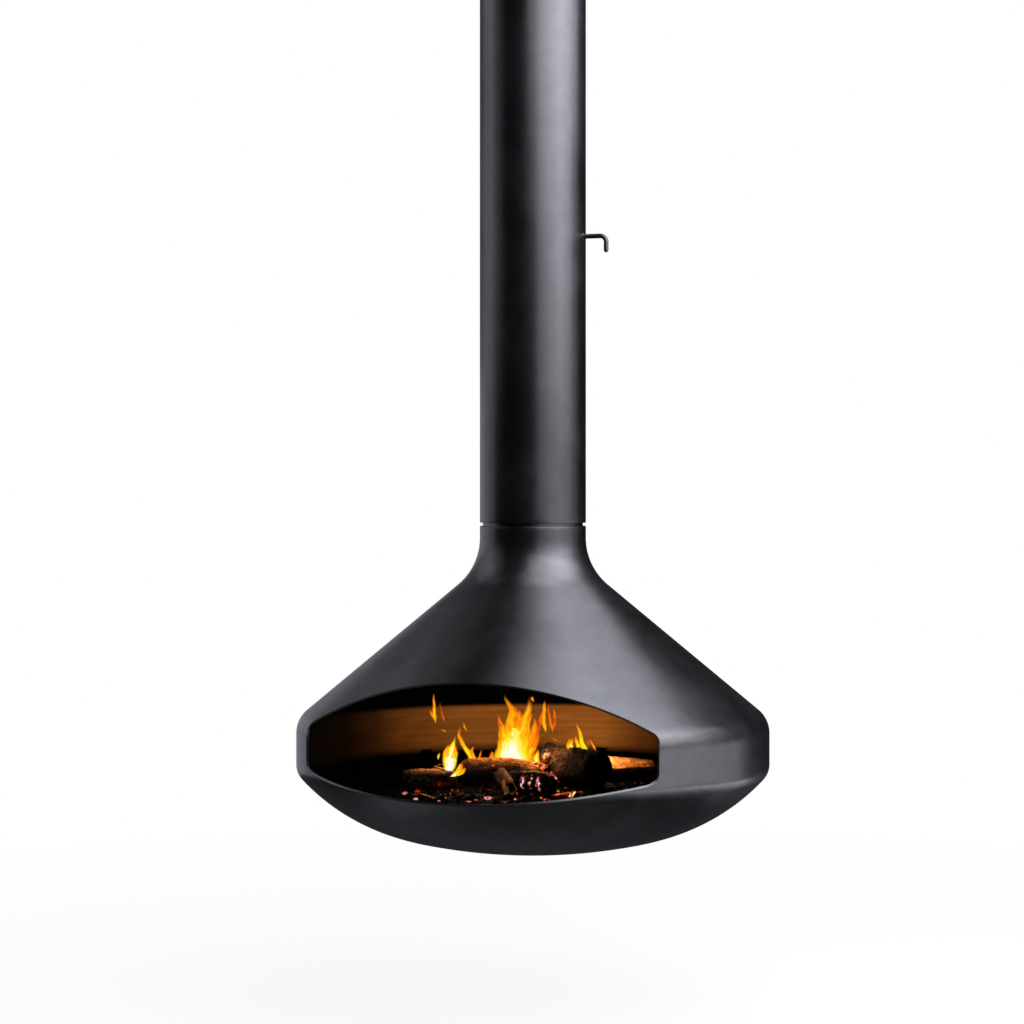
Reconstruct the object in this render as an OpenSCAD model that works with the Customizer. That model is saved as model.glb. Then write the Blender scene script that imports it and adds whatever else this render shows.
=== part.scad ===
/* [Hanging] */
// Ceiling face down to the middle of the swivel groove
drop_h = 1580; // [1300:10:2400]
// Diameter of the round plate that is bolted to the ceiling
plate_d = 380; // [350:10:440]
// Thickness of the ceiling plate
plate_t = 10; // [8:1:14]
// Pitch circle of the four ceiling bolts
ceiling_bolt_circle = 310; // [300:5:320]
// Diameter of the holes for the ceiling bolts
ceiling_hole_d = 14; // [10:1:18]
// Depth of the collar that grips the flue under the plate
collar_h = 60; // [50:2:70]
// Wall of that collar, which the hanging bolts are threaded into
collar_wall = 10; // [8:1:12]
// Number of hanging bolts
hanging_bolt_n = 6; // [4:1:8]
// Diameter of the hanging bolts
hanging_bolt_d = 10; // [8:1:12]
// Radius of the trumpet-shaped ceiling cover
cover_curve_r = 118; // [112:2:126]
// Sheet of the ceiling cover
cover_t = 1.5; // [1:0.1:2]

/* [Flue] */
// Outside diameter of the flue and of the neck of the hearth
flue_d = 225; // [215:1:235]
// Wall of the flue
flue_wall = 3; // [2:0.5:4]
// Length of the spigot above the ceiling face, which the chimney slips over
spigot_h = 80; // [60:5:140]
// Amount that the spigot is turned down all round, to its shoulder
spigot_cut = 0.75; // [0.5:0.05:1]

/* [Damper] */
// Height of the damper rod above the swivel groove
damper_up = 607; // [500:1:700]
// Diameter of the damper rod and its handle
rod_d = 10; // [8:0.5:11]
// Axis of the flue out to the hanging end of the handle
handle_reach = 163; // [150:1:190]
// Radius of the bend in the handle
handle_bend_r = 13; // [10:1:18]
// Height of the rod above the tip of the handle
handle_drop = 35; // [30:1:80]
// Gap between the edge of the damper blade and the flue
blade_gap = 5.5; // [4:0.5:10]
// Thickness of the damper blade
blade_t = 2; // [1.5:0.5:3]
// Diameter of each of the two draught holes in the blade
blade_hole_d = 60; // [40:2:70]
// Diameter of the clamp screws
clamp_screw_d = 5; // [4:1:6]

/* [Swivel] */
// Height of the open groove between flue and neck
groove_h = 7; // [4:0.5:10]
// Depth of that groove, from the neck in to the spindle
groove_depth = 6.3; // [5.5:0.1:7.5]
// Wall of the spindle that the hearth turns on
spindle_wall = 4; // [3:0.5:6]
// Length of the spindle inside the flue
spindle_socket_h = 60; // [40:5:90]
// Diameter of the bearing balls
ball_d = 12; // [10:0.5:13]
// Number of bearing balls
ball_n = 36; // [24:1:40]
// Width of the bearing races
race_w = 17.5; // [15:0.5:19]
// Thickness of each race
race_h = 9; // [7:0.5:11]
// Height of the guide bush in the neck
bush_h = 18; // [10:1:22]
// Thickness of the rope seal
seal_d = 6; // [4:0.5:7]

/* [Hearth] */
// Largest diameter of the hearth
body_d = 1000; // [940:10:1080]
// Sheet of the hearth
shell_wall = 4; // [3:0.5:6]
// Length of the straight neck below the swivel groove
neck_h = 28.7; // [26:0.1:36]
// Height of the upright band round the widest part
band_h = 109; // [90:1:130]
// Depth of the bowl under the band
bowl_h = 170.5; // [165:0.5:176]
// Slope of the cone, measured from upright
cone_angle = 50.3; // [48:0.1:53]
// Slope of the bowl where it leaves the band, measured from upright
bowl_angle = 42.5; // [41:0.1:44]
// Radius of the hollow curve from neck to cone
neck_curve_r = 129; // [115:1:145]
// Radius of the shoulder
shoulder_r = 58; // [40:1:80]
// Radius of the turn from band to bowl
chine_r = 40; // [30:1:55]
// Radius of the bowl's side, before it flattens to the bottom
bowl_side_r = 425; // [415:1:435]

/* [Mouth] */
// Width of the mouth
mouth_w = 745; // [680:5:770]
// Shoulder up to the top of the mouth
mouth_top_up = 99; // [85:1:110]
// Shoulder down to the lowest point of the sill
mouth_sill_down = 123.5; // [115:0.5:134]
// Rise of the arch over the mouth
arch_rise = 98; // [85:1:105]
// Rise of the sill from its middle to its ends
sill_rise = 38; // [30:1:45]
// Radius of the mouth's upper corners
mouth_top_r = 24; // [15:1:35]
// Radius of the mouth's lower corners
mouth_sill_r = 22; // [15:1:30]
// Depth of the strip that stiffens the edge of the mouth
lip_depth = 8; // [5:1:14]
// Thickness of that strip
lip_t = 4; // [3:0.5:6]

/* [Fireback] */
// Height of the plate behind the fire
fireback_h = 109; // [90:1:115]
// Thickness of the plate behind the fire
fireback_t = 4; // [3:0.5:6]
// Gap between that plate and the band
fireback_gap = 12; // [11:0.5:18]
// Sweep of the plate round the fire
fireback_sweep = 240; // [180:5:250]

/* [Fire tray] */
// Shoulder down to the top of the fire plate
fire_plate_down = 180; // [170:1:188]
// Thickness of the cast fire plate
fire_plate_t = 6; // [5:0.5:10]
// Wall of the bowl in to the edge of the fire plate
fire_plate_inset = 27; // [24:1:36]
// Depth of the ash pan under the fire plate
ash_pan_h = 30; // [20:1:32]
// Sheet of the ash pan
ash_pan_t = 3; // [2:0.5:4]
// Width of the slots in the fire plate
slot_w = 9; // [6:0.5:12]
// Spacing of those slots
slot_pitch = 26; // [22:1:34]
// Diameter of the slotted field
slot_field_d = 330; // [240:10:420]
// Height of the bed of embers
ember_h = 19; // [12:1:26]

/* [Hidden] */
$fn = 96;

// Clearances
seat_gap = 0.3;
slide_gap = 0.05;
turn_gap = 0.1;
past = 1;

// Ceiling and flue
flue_r = flue_d / 2;
spigot_foot = 2;
flue_in_r = flue_r - flue_wall;
flue_foot = -drop_h + groove_h / 2;
collar_in_r = flue_r + seat_gap;
collar_r = collar_in_r + collar_wall;
collar_foot = -plate_t - collar_h;
hanging_bolt_z = collar_foot + 0.4 * collar_h;
hanging_head_r = 0.92 * hanging_bolt_d;
hanging_head_h = 0.64 * hanging_bolt_d;
cover_rim_z = -2;
cover_rim_h = 8;
cover_neck_r = flue_r + 0.5;
cover_neck_wall = 4;
cover_neck_h = 22;
cover_centre = [cover_neck_r + cover_neck_wall + cover_curve_r, cover_rim_z - cover_rim_h - cover_curve_r];
cover_screw_r = 2.5;

// Damper, with its rod along X
rod_r = rod_d / 2;
rod_z = -drop_h + damper_up;
rod_bend_x = handle_reach - handle_bend_r;
damper_bush_r = rod_r + 3;
damper_flange_r = rod_r + 6;
damper_flange_t = 2;
damper_flange_x = sqrt(pow(flue_in_r, 2) - pow(damper_flange_r, 2)) - slide_gap;
damper_bush_x = sqrt(pow(flue_r, 2) - pow(damper_bush_r, 2)) - slide_gap;
washer_t = 0.8;
washer_rise = 0.8;
washer_stack = 2 * (washer_t + washer_rise);
damper_collar_r = 2 * rod_r;
damper_collar_w = 10;
collar_x = damper_flange_x - damper_flange_t - seat_gap;
collar_screw_r = 2;
blade_r = flue_in_r - blade_gap;
blade_face_y = -rod_r;
clamp_x = 45;
clamp_w = 16;
clamp_t = 2;
clamp_foot = 13;
clamp_screw_r = clamp_screw_d / 2;
clamp_screw_z = rod_r + clamp_t + clamp_foot / 2;
clamp_head_h = 0.6 * clamp_screw_d;
clamp_nut_h = 0.8 * clamp_screw_d;

// Swivel, with heights from the middle of the groove
spindle_r = flue_r - groove_depth;
spindle_in_r = spindle_r - spindle_wall;
race_in_r = spindle_r + 2.3;
race_out_r = race_in_r + race_w;
ball_r = ball_d / 2;
ball_path_r = (race_in_r + race_out_r) / 2;
race_clear = 2 * ball_r - 4;
seat_drop = 97;
ball_drop = seat_drop + race_h + race_clear / 2;
lower_race_drop = ball_drop + race_clear / 2;
nut_seat_drop = lower_race_drop + race_h;
nut_h = 17;
spindle_foot = -nut_seat_drop - nut_h;
pilot_h = 3;
pilot_t = 2.5;
neck_ring_h = 52;
seal_drop = seat_drop - 17;
cage_gap = 1.5;
nut_screw_r = 3;
bush_top_drop = groove_h / 2 + 5;

// Outer wall of the hearth, as points in the plane of radius and height
body_r = body_d / 2;
cone_top = -neck_h - neck_curve_r * tan(cone_angle / 2);
band_top = cone_top - (body_r - flue_r) / tan(cone_angle);
band_foot = band_top - band_h;
bowl_foot = band_foot - bowl_h;
bowl_out = [cos(bowl_angle), -sin(bowl_angle)];
neck_c = [flue_r + neck_curve_r, -neck_h];
shoulder_c = [body_r - shoulder_r, band_top - shoulder_r * tan(cone_angle / 2)];
chine_c = [body_r - chine_r, band_foot + chine_r * tan(bowl_angle / 2)];
side_c = chine_c + (chine_r - bowl_side_r) * bowl_out;
side_rise = side_c.y - bowl_foot;
bottom_r = (pow(side_c.x, 2) + pow(side_rise, 2) - pow(bowl_side_r, 2)) / (2 * (side_rise - bowl_side_r));
bottom_c = [0, bowl_foot + bottom_r];
bottom_out = (side_c - bottom_c) / norm(side_c - bottom_c);

// Mouth, as points in the plane of X and height
mouth_half = mouth_w / 2;
arch_r = (pow(mouth_half, 2) + pow(arch_rise, 2)) / (2 * arch_rise);
sill_r = (pow(mouth_half, 2) + pow(sill_rise, 2)) / (2 * sill_rise);
arch_c = [0, band_top + mouth_top_up - arch_r];
sill_c = [0, band_top - mouth_sill_down + sill_r];
arch_corner_x = mouth_half - mouth_top_r;
sill_corner_x = mouth_half - mouth_sill_r;
arch_corner = [arch_corner_x, arch_c.y + sqrt(pow(arch_r - mouth_top_r, 2) - pow(arch_corner_x, 2))];
sill_corner = [sill_corner_x, sill_c.y - sqrt(pow(sill_r - mouth_sill_r, 2) - pow(sill_corner_x, 2))];

// Fireback and fire tray
fireback_r = body_r - shell_wall - fireback_gap;
fireback_foot = band_foot - 10;
fireback_top = fireback_foot + fireback_h;
clip_t = 5;
clip_h = 8;
clip_sweep = 3;
clip_angles = [-10, 40, 90, 140, 190];
spacer_h = 12;
spacer_angles = [0, 90, 180];
fire_plate_top = band_top - fire_plate_down;
bowl_in_r = side_c.x + sqrt(pow(bowl_side_r - shell_wall, 2) - pow(fire_plate_top - side_c.y, 2));
fire_plate_r = bowl_in_r - fire_plate_inset;
pan_rim_top = fire_plate_top - fire_plate_t;
pan_rim_w = 22;
pan_rim_r = fire_plate_r + seat_gap + ash_pan_t;
pan_mouth_r = fire_plate_r - pan_rim_w;
pan_slope = 50;
ring_top = pan_rim_top - ash_pan_t - seat_gap;
ring_t = 6;
ring_in_r = pan_mouth_r + 2 * seat_gap;
finger_hole_r = 14;
slot_field_r = slot_field_d / 2;
slot_n = floor(slot_field_r / slot_pitch);
ember_top = fire_plate_top + ember_h;
bed_r = fire_plate_r - 2 * pan_rim_w;
log_left_r = 24;
log_middle_r = 33;
log_front_r = 26;
log_right_r = 42;
log_rear_r = 34;

// Colours, as the photograph shows them
dark_steel = [0.22, 0.22, 0.24];
black_steel = [0.10, 0.10, 0.11];
bright_steel = [0.62, 0.63, 0.65];
bronze = [0.62, 0.45, 0.25];
rope_white = [0.80, 0.78, 0.70];
heat_brown = [0.36, 0.22, 0.10];
char_black = [0.09, 0.07, 0.06];
bark_brown = [0.28, 0.17, 0.09];

function toward(angle) = [cos(angle), sin(angle)];

// A ring about Z between two radii and two heights
module ring(r_in, r_out, low, high) {
    rotate_extrude()
        translate([r_in, low])
            square([r_out - r_in, high - low]);
}

function heading(v) = atan2(v.y, v.x);

// Points along an arc; an arc that carries on from another one skips its first point
function arc_points(centre, r, from, to, steps, skip = 0) =
    [for (i = [skip : steps]) centre + r * toward(from + (to - from) * i / steps)];

// Half section of the hearth, set in by the given amount and longer by it at the neck
module body_section(inset) {
    top = inset - groove_h / 2;
    side_foot = heading(bottom_out);
    polygon(concat(
        [[0, top], [flue_r - inset, top]],
        arc_points(neck_c, neck_curve_r + inset, 180, 180 + cone_angle, 10),
        arc_points(shoulder_c, shoulder_r - inset, cone_angle, 0, 8),
        arc_points(chine_c, chine_r - inset, 0, -bowl_angle, 8),
        arc_points(side_c, bowl_side_r - inset, -bowl_angle, side_foot, 14, 1),
        arc_points(bottom_c, bottom_r - inset, side_foot, -90, 10, 1)
    ));
}

// Ring inside the hearth, cut to the curve of its wall
module fitted_ring(r_in, low, high, inset) {
    rotate_extrude()
        intersection() {
            body_section(inset);
            translate([r_in, low]) square([body_r - r_in, high - low]);
        }
}

// Right half of the mouth's edge, from the middle of the sill round to the middle of the arch
function mouth_half_points(grow) =
    let (sill_end = heading(sill_corner - sill_c), arch_end = heading(arch_corner - arch_c))
    concat(
        arc_points(sill_c, sill_r + grow, -90, sill_end, 8),
        arc_points(sill_corner, mouth_sill_r + grow, sill_end, 0, 6, 1),
        arc_points(arch_corner, mouth_top_r + grow, 0, arch_end, 6),
        arc_points(arch_c, arch_r + grow, arch_end, 90, 14, 1)
    );

// Outline of the mouth, let out by the given amount
module mouth_outline(grow) {
    edge = mouth_half_points(grow);
    polygon(concat(edge, [for (i = [len(edge) - 2 : -1 : 1]) [-edge[i].x, edge[i].y]]));
}

// The mouth as a solid that runs forward from the middle of the hearth
module mouth_block(grow) {
    rotate([90, 0, 0])
        linear_extrude(height = body_r + past)
            mouth_outline(grow);
}

module at_swivel() {
    translate([0, 0, -drop_h]) children();
}

module at_rod() {
    translate([0, 0, rod_z]) children();
}

// Places something made along Z on a line from one point to another
module along(from, to) {
    run = to - from;
    translate(from)
        rotate([0, acos(run.z / norm(run)), atan2(run.y, run.x)])
            children();
}

// Something made along +X at radius 0, repeated round Z
module around(count, first = 0) {
    for (i = [0 : count - 1]) rotate(first + i * 360 / count) children();
}

module rod_along_x(r, from, to) {
    translate([from, 0, 0]) rotate([0, 90, 0]) cylinder(r = r, h = to - from);
}

module ceiling_plate() {
    color(dark_steel) difference() {
        union() {
            ring(collar_in_r, plate_d / 2, -plate_t, 0);
            ring(collar_in_r, collar_r, collar_foot, -plate_t);
        }
        around(4, 45) translate([ceiling_bolt_circle / 2, 0, -plate_t - past])
            cylinder(d = ceiling_hole_d, h = plate_t + 2 * past);
        around(hanging_bolt_n) translate([0, 0, hanging_bolt_z])
            rod_along_x(hanging_bolt_d / 2, flue_in_r, collar_r + past);
    }
}

module hanging_bolts() {
    color(bright_steel) around(hanging_bolt_n) translate([0, 0, hanging_bolt_z]) {
        rod_along_x(hanging_bolt_d / 2 - slide_gap, flue_in_r + slide_gap, collar_r);
        translate([collar_r, 0, 0]) rotate([0, 90, 0])
            cylinder(r = hanging_head_r, h = hanging_head_h, $fn = 6);
    }
}

module ceiling_cover() {
    cover_r = cover_centre.x;
    color(dark_steel) difference() {
        rotate_extrude() {
            intersection() {
                difference() {
                    translate(cover_centre) circle(r = cover_curve_r + cover_t, $fn = 240);
                    translate(cover_centre) circle(r = cover_curve_r, $fn = 240);
                }
                translate([cover_r - cover_curve_r - cover_t, cover_centre.y])
                    square([cover_curve_r + cover_t, cover_curve_r + cover_t]);
            }
            translate([cover_r - cover_t, cover_rim_z - cover_rim_h]) square([cover_t, cover_rim_h]);
            translate([cover_neck_r, cover_centre.y - cover_neck_h])
                square([cover_neck_wall, cover_neck_h]);
        }
        cover_screw_holes(cover_screw_r + slide_gap);
    }
}

module cover_screw_holes(r) {
    around(3, 30) translate([0, 0, cover_centre.y - cover_neck_h / 2])
        rod_along_x(r, flue_r, cover_neck_r + cover_neck_wall);
}

module cover_screws() {
    color(bright_steel) cover_screw_holes(cover_screw_r);
}

module flue_tube() {
    color(dark_steel) difference() {
        union() {
            ring(flue_in_r, flue_r, flue_foot, spigot_foot);
            ring(flue_in_r, flue_r - spigot_cut, spigot_foot, spigot_foot + spigot_h);
        }
        around(hanging_bolt_n) translate([0, 0, hanging_bolt_z])
            rod_along_x(hanging_bolt_d / 2, flue_in_r / 2, flue_r + past);
        at_rod() rod_along_x(damper_bush_r + slide_gap, -flue_r - past, flue_r + past);
    }
}

// Flanged bush, pushed into the flue from inside on the +X side
module damper_bush() {
    difference() {
        union() {
            rod_along_x(damper_flange_r, damper_flange_x - damper_flange_t, damper_flange_x);
            rod_along_x(damper_bush_r, damper_flange_x - damper_flange_t, damper_bush_x);
        }
        rod_along_x(rod_r + slide_gap, 0, flue_r);
    }
}

module damper_bushes() {
    color(bronze) at_rod() around(2) damper_bush();
}

module damper_rod() {
    handle_len = handle_drop - handle_bend_r - rod_r;
    color(dark_steel) at_rod() {
        rod_along_x(rod_r, -damper_bush_x, rod_bend_x);
        translate([rod_bend_x, 0, -handle_bend_r]) rotate([90, 0, 0])
            rotate_extrude(angle = 90) translate([handle_bend_r, 0]) circle(r = rod_r);
        translate([handle_reach, 0, -handle_bend_r - handle_len]) {
            cylinder(r = rod_r, h = handle_len);
            sphere(r = rod_r);
        }
    }
}

module damper_blade() {
    notch_x = collar_x - washer_stack - seat_gap - damper_collar_w - 3;
    notch_h = 2 * damper_flange_r + 6;
    color(black_steel) at_rod() difference() {
        translate([0, blade_face_y, 0]) rotate([90, 0, 0]) cylinder(r = blade_r, h = blade_t);
        for (side = [-1, 1]) {
            translate([0, blade_face_y + past, side * blade_r / 2]) rotate([90, 0, 0])
                cylinder(d = blade_hole_d, h = blade_t + 2 * past);
            translate([side * (notch_x + blade_r) / 2, blade_face_y - blade_t / 2, 0])
                cube([blade_r - notch_x + 2 * past, blade_t + 2 * past, notch_h], center = true);
        }
        clamp_screw_holes(clamp_screw_r + seat_gap / 2);
    }
}

module clamp_screw_holes(r) {
    for (x = [-clamp_x, clamp_x], z = [-clamp_screw_z, clamp_screw_z])
        translate([x, blade_face_y - blade_t - past, z]) rotate([-90, 0, 0])
            cylinder(r = r, h = blade_t + clamp_t + 2 * past);
}

// Saddle strap round the rod, drawn across it and drawn out along X
module blade_clamps() {
    bend_r = rod_r + clamp_t;
    color(bright_steel) at_rod() difference() {
        for (x = [-clamp_x, clamp_x])
            translate([x - clamp_w / 2, 0, 0]) rotate([90, 0, 90])
                linear_extrude(height = clamp_w) {
                    difference() {
                        union() {
                            circle(r = bend_r);
                            translate([-rod_r, -bend_r]) square([rod_r, 2 * bend_r]);
                        }
                        circle(r = rod_r + slide_gap);
                        translate([-rod_r - bend_r, -bend_r]) square([bend_r, 2 * bend_r]);
                        translate([-rod_r - past, -rod_r - slide_gap])
                            square([rod_r + past, 2 * (rod_r + slide_gap)]);
                    }
                    for (side = [0, 1]) mirror([0, side])
                        translate([-rod_r, rod_r + clamp_t / 2])
                            square([clamp_t, clamp_t / 2 + clamp_foot]);
                }
        clamp_screw_holes(clamp_screw_r + seat_gap / 2);
    }
}

module blade_screws() {
    shank = clamp_t + blade_t + clamp_nut_h + past;
    color(bright_steel) at_rod()
        for (x = [-clamp_x, clamp_x], z = [-clamp_screw_z, clamp_screw_z])
            translate([x, blade_face_y + clamp_t, z]) rotate([90, 0, 0]) {
                cylinder(r = clamp_screw_r, h = shank);
                translate([0, 0, -clamp_head_h]) cylinder(d = 1.8 * clamp_screw_d, h = clamp_head_h);
            }
}

module blade_nuts() {
    color(bright_steel) at_rod()
        for (x = [-clamp_x, clamp_x], z = [-clamp_screw_z, clamp_screw_z])
            translate([x, blade_face_y - blade_t, z]) rotate([90, 0, 0]) difference() {
                cylinder(d = 1.85 * clamp_screw_d, h = clamp_nut_h, $fn = 6);
                translate([0, 0, -past]) cylinder(r = clamp_screw_r + slide_gap, h = clamp_nut_h + 2 * past);
            }
}

// The collar beside the spring stands further in than the plain one
function damper_collar_x(side) = side > 0 ? collar_x - washer_stack - seat_gap : collar_x;

module damper_collars() {
    color(bright_steel) at_rod() difference() {
        for (side = [0, 1]) rotate(180 * side) {
            face_x = damper_collar_x(1 - 2 * side);
            rod_along_x(damper_collar_r, face_x - damper_collar_w, face_x);
        }
        rod_along_x(rod_r + slide_gap, -flue_r, flue_r);
        collar_screw_holes(collar_screw_r + slide_gap);
    }
}

module collar_screw_holes(r) {
    for (side = [-1, 1])
        translate([side * (damper_collar_x(side) - damper_collar_w / 2), rod_r + slide_gap, 0])
            rotate([-90, 0, 0]) cylinder(r = r, h = damper_collar_r - rod_r - 2 * slide_gap);
}

module collar_screws() {
    color(black_steel) at_rod() collar_screw_holes(collar_screw_r);
}

// Two dished washers, rim to rim, that hold the handle where it is set
module spring_washers() {
    hole_r = rod_r + seat_gap;
    rim_r = damper_flange_r - past;
    color(bright_steel) at_rod() translate([collar_x - washer_stack / 2, 0, 0]) rotate([0, 90, 0])
        for (side = [0, 1]) mirror([0, 0, side])
            rotate_extrude() polygon([
                [hole_r, washer_rise],
                [hole_r, washer_rise + washer_t],
                [rim_r, washer_t],
                [rim_r, 0]
            ]);
}

module swivel_spindle() {
    color(dark_steel) at_swivel() {
        ring(spindle_in_r, spindle_r, spindle_foot, groove_h / 2);
        ring(spindle_in_r, flue_in_r - slide_gap, groove_h / 2, groove_h / 2 + spindle_socket_h);
    }
}

module nut_screw_holes(r) {
    around(2, 90) translate([0, 0, spindle_foot + nut_h / 2])
        rod_along_x(r, spindle_r + slide_gap, race_out_r - past);
}

// Ring nut on the foot of the spindle, with six slots for a hook spanner
module swivel_nut() {
    nut_r = race_out_r + pilot_t;
    color(dark_steel) at_swivel() difference() {
        union() {
            ring(spindle_r + slide_gap, nut_r, spindle_foot, -nut_seat_drop);
            ring(race_out_r + slide_gap, nut_r, -nut_seat_drop, pilot_h - nut_seat_drop);
        }
        around(6) translate([nut_r, 0, spindle_foot + nut_h / 3])
            cube([2 * pilot_t, 8, 2 * nut_h / 3 + past], center = true);
        around(2, 90) translate([0, 0, spindle_foot + nut_h / 2])
            rod_along_x(nut_screw_r + slide_gap, spindle_r, nut_r + past);
    }
}

module nut_screws() {
    color(bright_steel) at_swivel() nut_screw_holes(nut_screw_r);
}

// Race with its ball groove, seated face up at the given height
module race_section(seat, side) {
    difference() {
        translate([race_in_r, side > 0 ? seat - race_h : seat]) square([race_w, race_h]);
        translate([ball_path_r, -ball_drop]) circle(r = ball_r + turn_gap);
    }
}

module lower_race() {
    color(bright_steel) at_swivel() rotate_extrude() race_section(-nut_seat_drop, -1);
}

module upper_race() {
    color(bright_steel) at_swivel() rotate_extrude() race_section(-seat_drop, 1);
}

module bearing_cage() {
    cage_h = race_clear - 2 * cage_gap;
    color(bronze) at_swivel() difference() {
        ring(race_in_r + 1, race_out_r - 1, -ball_drop - cage_h / 2, -ball_drop + cage_h / 2);
        around(ball_n) translate([ball_path_r, 0, -ball_drop])
            cylinder(r = ball_r + seat_gap, h = race_clear, center = true);
    }
}

module bearing_balls() {
    color(bright_steel) at_swivel()
        around(ball_n) translate([ball_path_r, 0, -ball_drop]) sphere(r = ball_r, $fn = 32);
}

// Ring welded in the neck, which hangs the hearth on the upper race
module neck_ring() {
    seal_r = seal_d / 2;
    ring_r = spindle_r + 0.8;
    color(dark_steel) at_swivel() difference() {
        fitted_ring(ring_r, -seat_drop - pilot_h, -seat_drop - pilot_h + neck_ring_h, shell_wall);
        ring(ring_r - past, race_out_r + slide_gap, -seat_drop - pilot_h - past, -seat_drop);
        ring(ring_r - past, spindle_r + seat_gap + seal_d, -seal_drop - seal_r, -seal_drop + seal_r);
    }
}

module guide_bush() {
    color(bronze) at_swivel()
        ring(spindle_r + turn_gap, flue_r - shell_wall, -bush_top_drop - bush_h, -bush_top_drop);
}

module rope_seal() {
    color(rope_white) at_swivel() rotate_extrude()
        translate([spindle_r + seat_gap + seal_d / 2, -seal_drop]) circle(d = seal_d - slide_gap);
}

module hearth_shell() {
    color(dark_steel) at_swivel() difference() {
        rotate_extrude() difference() {
            body_section(0);
            body_section(shell_wall);
        }
        mouth_block(0);
    }
}

// Strip welded behind the edge of the mouth, flush with the cut
module mouth_lip() {
    color(dark_steel) at_swivel() intersection() {
        rotate_extrude() difference() {
            body_section(shell_wall);
            body_section(shell_wall + lip_depth);
        }
        difference() {
            mouth_block(lip_t);
            mouth_block(0);
        }
    }
}

module fireback() {
    color(heat_brown) at_swivel() rotate(90 - fireback_sweep / 2)
        rotate_extrude(angle = fireback_sweep)
            translate([fireback_r - fireback_t, fireback_foot]) square([fireback_t, fireback_h]);
}

// Hooks welded to the wall, which the lower edge of the fireback stands in
module fireback_clips() {
    lip_r = fireback_r - fireback_t - seat_gap;
    color(black_steel) at_swivel()
        for (angle = clip_angles) rotate(angle - clip_sweep / 2)
            rotate_extrude(angle = clip_sweep) intersection() {
                body_section(shell_wall);
                polygon([
                    [lip_r - clip_t, fireback_foot - clip_t],
                    [body_r, fireback_foot - clip_t],
                    [body_r, fireback_foot],
                    [lip_r, fireback_foot],
                    [lip_r, fireback_foot + clip_h],
                    [lip_r - clip_t, fireback_foot + clip_h]
                ]);
            }
}

module fireback_spacers() {
    color(black_steel) at_swivel()
        for (angle = spacer_angles) rotate(angle - clip_sweep / 2)
            rotate_extrude(angle = clip_sweep) intersection() {
                body_section(shell_wall);
                translate([fireback_r, fireback_top - 2 * spacer_h])
                    square([body_r - fireback_r, spacer_h]);
            }
}

module tray_ring() {
    color(black_steel) at_swivel() fitted_ring(ring_in_r, ring_top - ring_t, ring_top, shell_wall);
}

// Shallow dish hung by its rim, with an upstand that keeps the fire plate in place
module ash_pan() {
    wall_run = ash_pan_h / tan(pan_slope);
    pan_foot = pan_rim_top - ash_pan_t - ash_pan_h;
    slope_t = ash_pan_t / sin(pan_slope);
    color(black_steel) at_swivel() rotate_extrude() polygon([
        [0, pan_foot],
        [pan_mouth_r - wall_run, pan_foot],
        [pan_mouth_r, pan_rim_top - ash_pan_t],
        [pan_rim_r, pan_rim_top - ash_pan_t],
        [pan_rim_r, fire_plate_top],
        [pan_rim_r - ash_pan_t, fire_plate_top],
        [pan_rim_r - ash_pan_t, pan_rim_top],
        [pan_mouth_r - slope_t, pan_rim_top],
        [pan_mouth_r - slope_t - wall_run, pan_foot + ash_pan_t],
        [0, pan_foot + ash_pan_t]
    ]);
}

module fire_plate() {
    color(black_steel) at_swivel() difference() {
        ring(0, fire_plate_r, pan_rim_top, fire_plate_top);
        for (i = [-slot_n : slot_n]) {
            half = sqrt(pow(slot_field_r, 2) - pow(i * slot_pitch, 2)) - slot_w;
            translate([i * slot_pitch, 0, pan_rim_top - past])
                linear_extrude(height = fire_plate_t + 2 * past) {
                    square([slot_w, 2 * half], center = true);
                    for (end = [-half, half]) translate([0, end]) circle(d = slot_w, $fn = 24);
                }
        }
        for (side = [-1, 1])
            translate([side * (fire_plate_r - pan_rim_w - 3 * finger_hole_r), 0, pan_rim_top - past])
                cylinder(r = finger_hole_r, h = fire_plate_t + 2 * past);
    }
}

// Heap of ash and embers: low flat mounds, and lumps of charcoal round their edges
// Places in the fire are shares of the heap's radius
module ember_bed() {
    mounds = [
        [-0.029, 0.131, 0.436],
        [-0.552, -0.087, 0.247],
        [0.116, 0.305, 0.349],
        [-0.174, -0.131, 0.276],
        [0.349, 0.645, 0.247]
    ];
    lump_n = 26;
    turn = rands(0, 360, lump_n, 7);
    lean = rands(10, 60, lump_n, 8);
    size = rands(0.5, 0.8, lump_n, 9);
    color(char_black) at_swivel() intersection() {
        union() {
            for (mound = mounds) translate([bed_r * mound.x, bed_r * mound.y, fire_plate_top])
                cylinder(r1 = bed_r * mound.z, r2 = bed_r * mound.z - ember_h, h = ember_h);
            for (i = [0 : lump_n - 1]) {
                at = bed_r * [0.04 * i - 0.756, 0.047 * (i % 3) - 0.087 - 0.233 * sin(7 * i)];
                translate([at.x, at.y, fire_plate_top + ember_h / 3]) rotate([lean[i], 0, turn[i]])
                    cylinder(r = ember_h * size[i], h = ember_h * size[i], $fn = 5 + i % 3, center = true);
            }
        }
        translate([0, 0, fire_plate_top]) cylinder(r = bed_r, h = ember_h);
    }
}

// Sawn log that lies on the heap between two places, split along one side
module firewood(from, to, r, split_turn, split_depth) {
    foot = concat(bed_r * from, ember_top + seat_gap + r);
    head = concat(bed_r * to, foot.z);
    length = norm(head - foot);
    at_swivel() along(foot, head) difference() {
        cylinder(r1 = r, r2 = 0.94 * r, h = length);
        rotate(split_turn) translate([r - split_depth, -r, -past])
            cube([r, 2 * r, length + 2 * past]);
    }
}

module log_left() {
    color(char_black) firewood([-0.762, -0.142], [-0.5, -0.026], log_left_r, 40, 0.38 * log_left_r);
}

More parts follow.
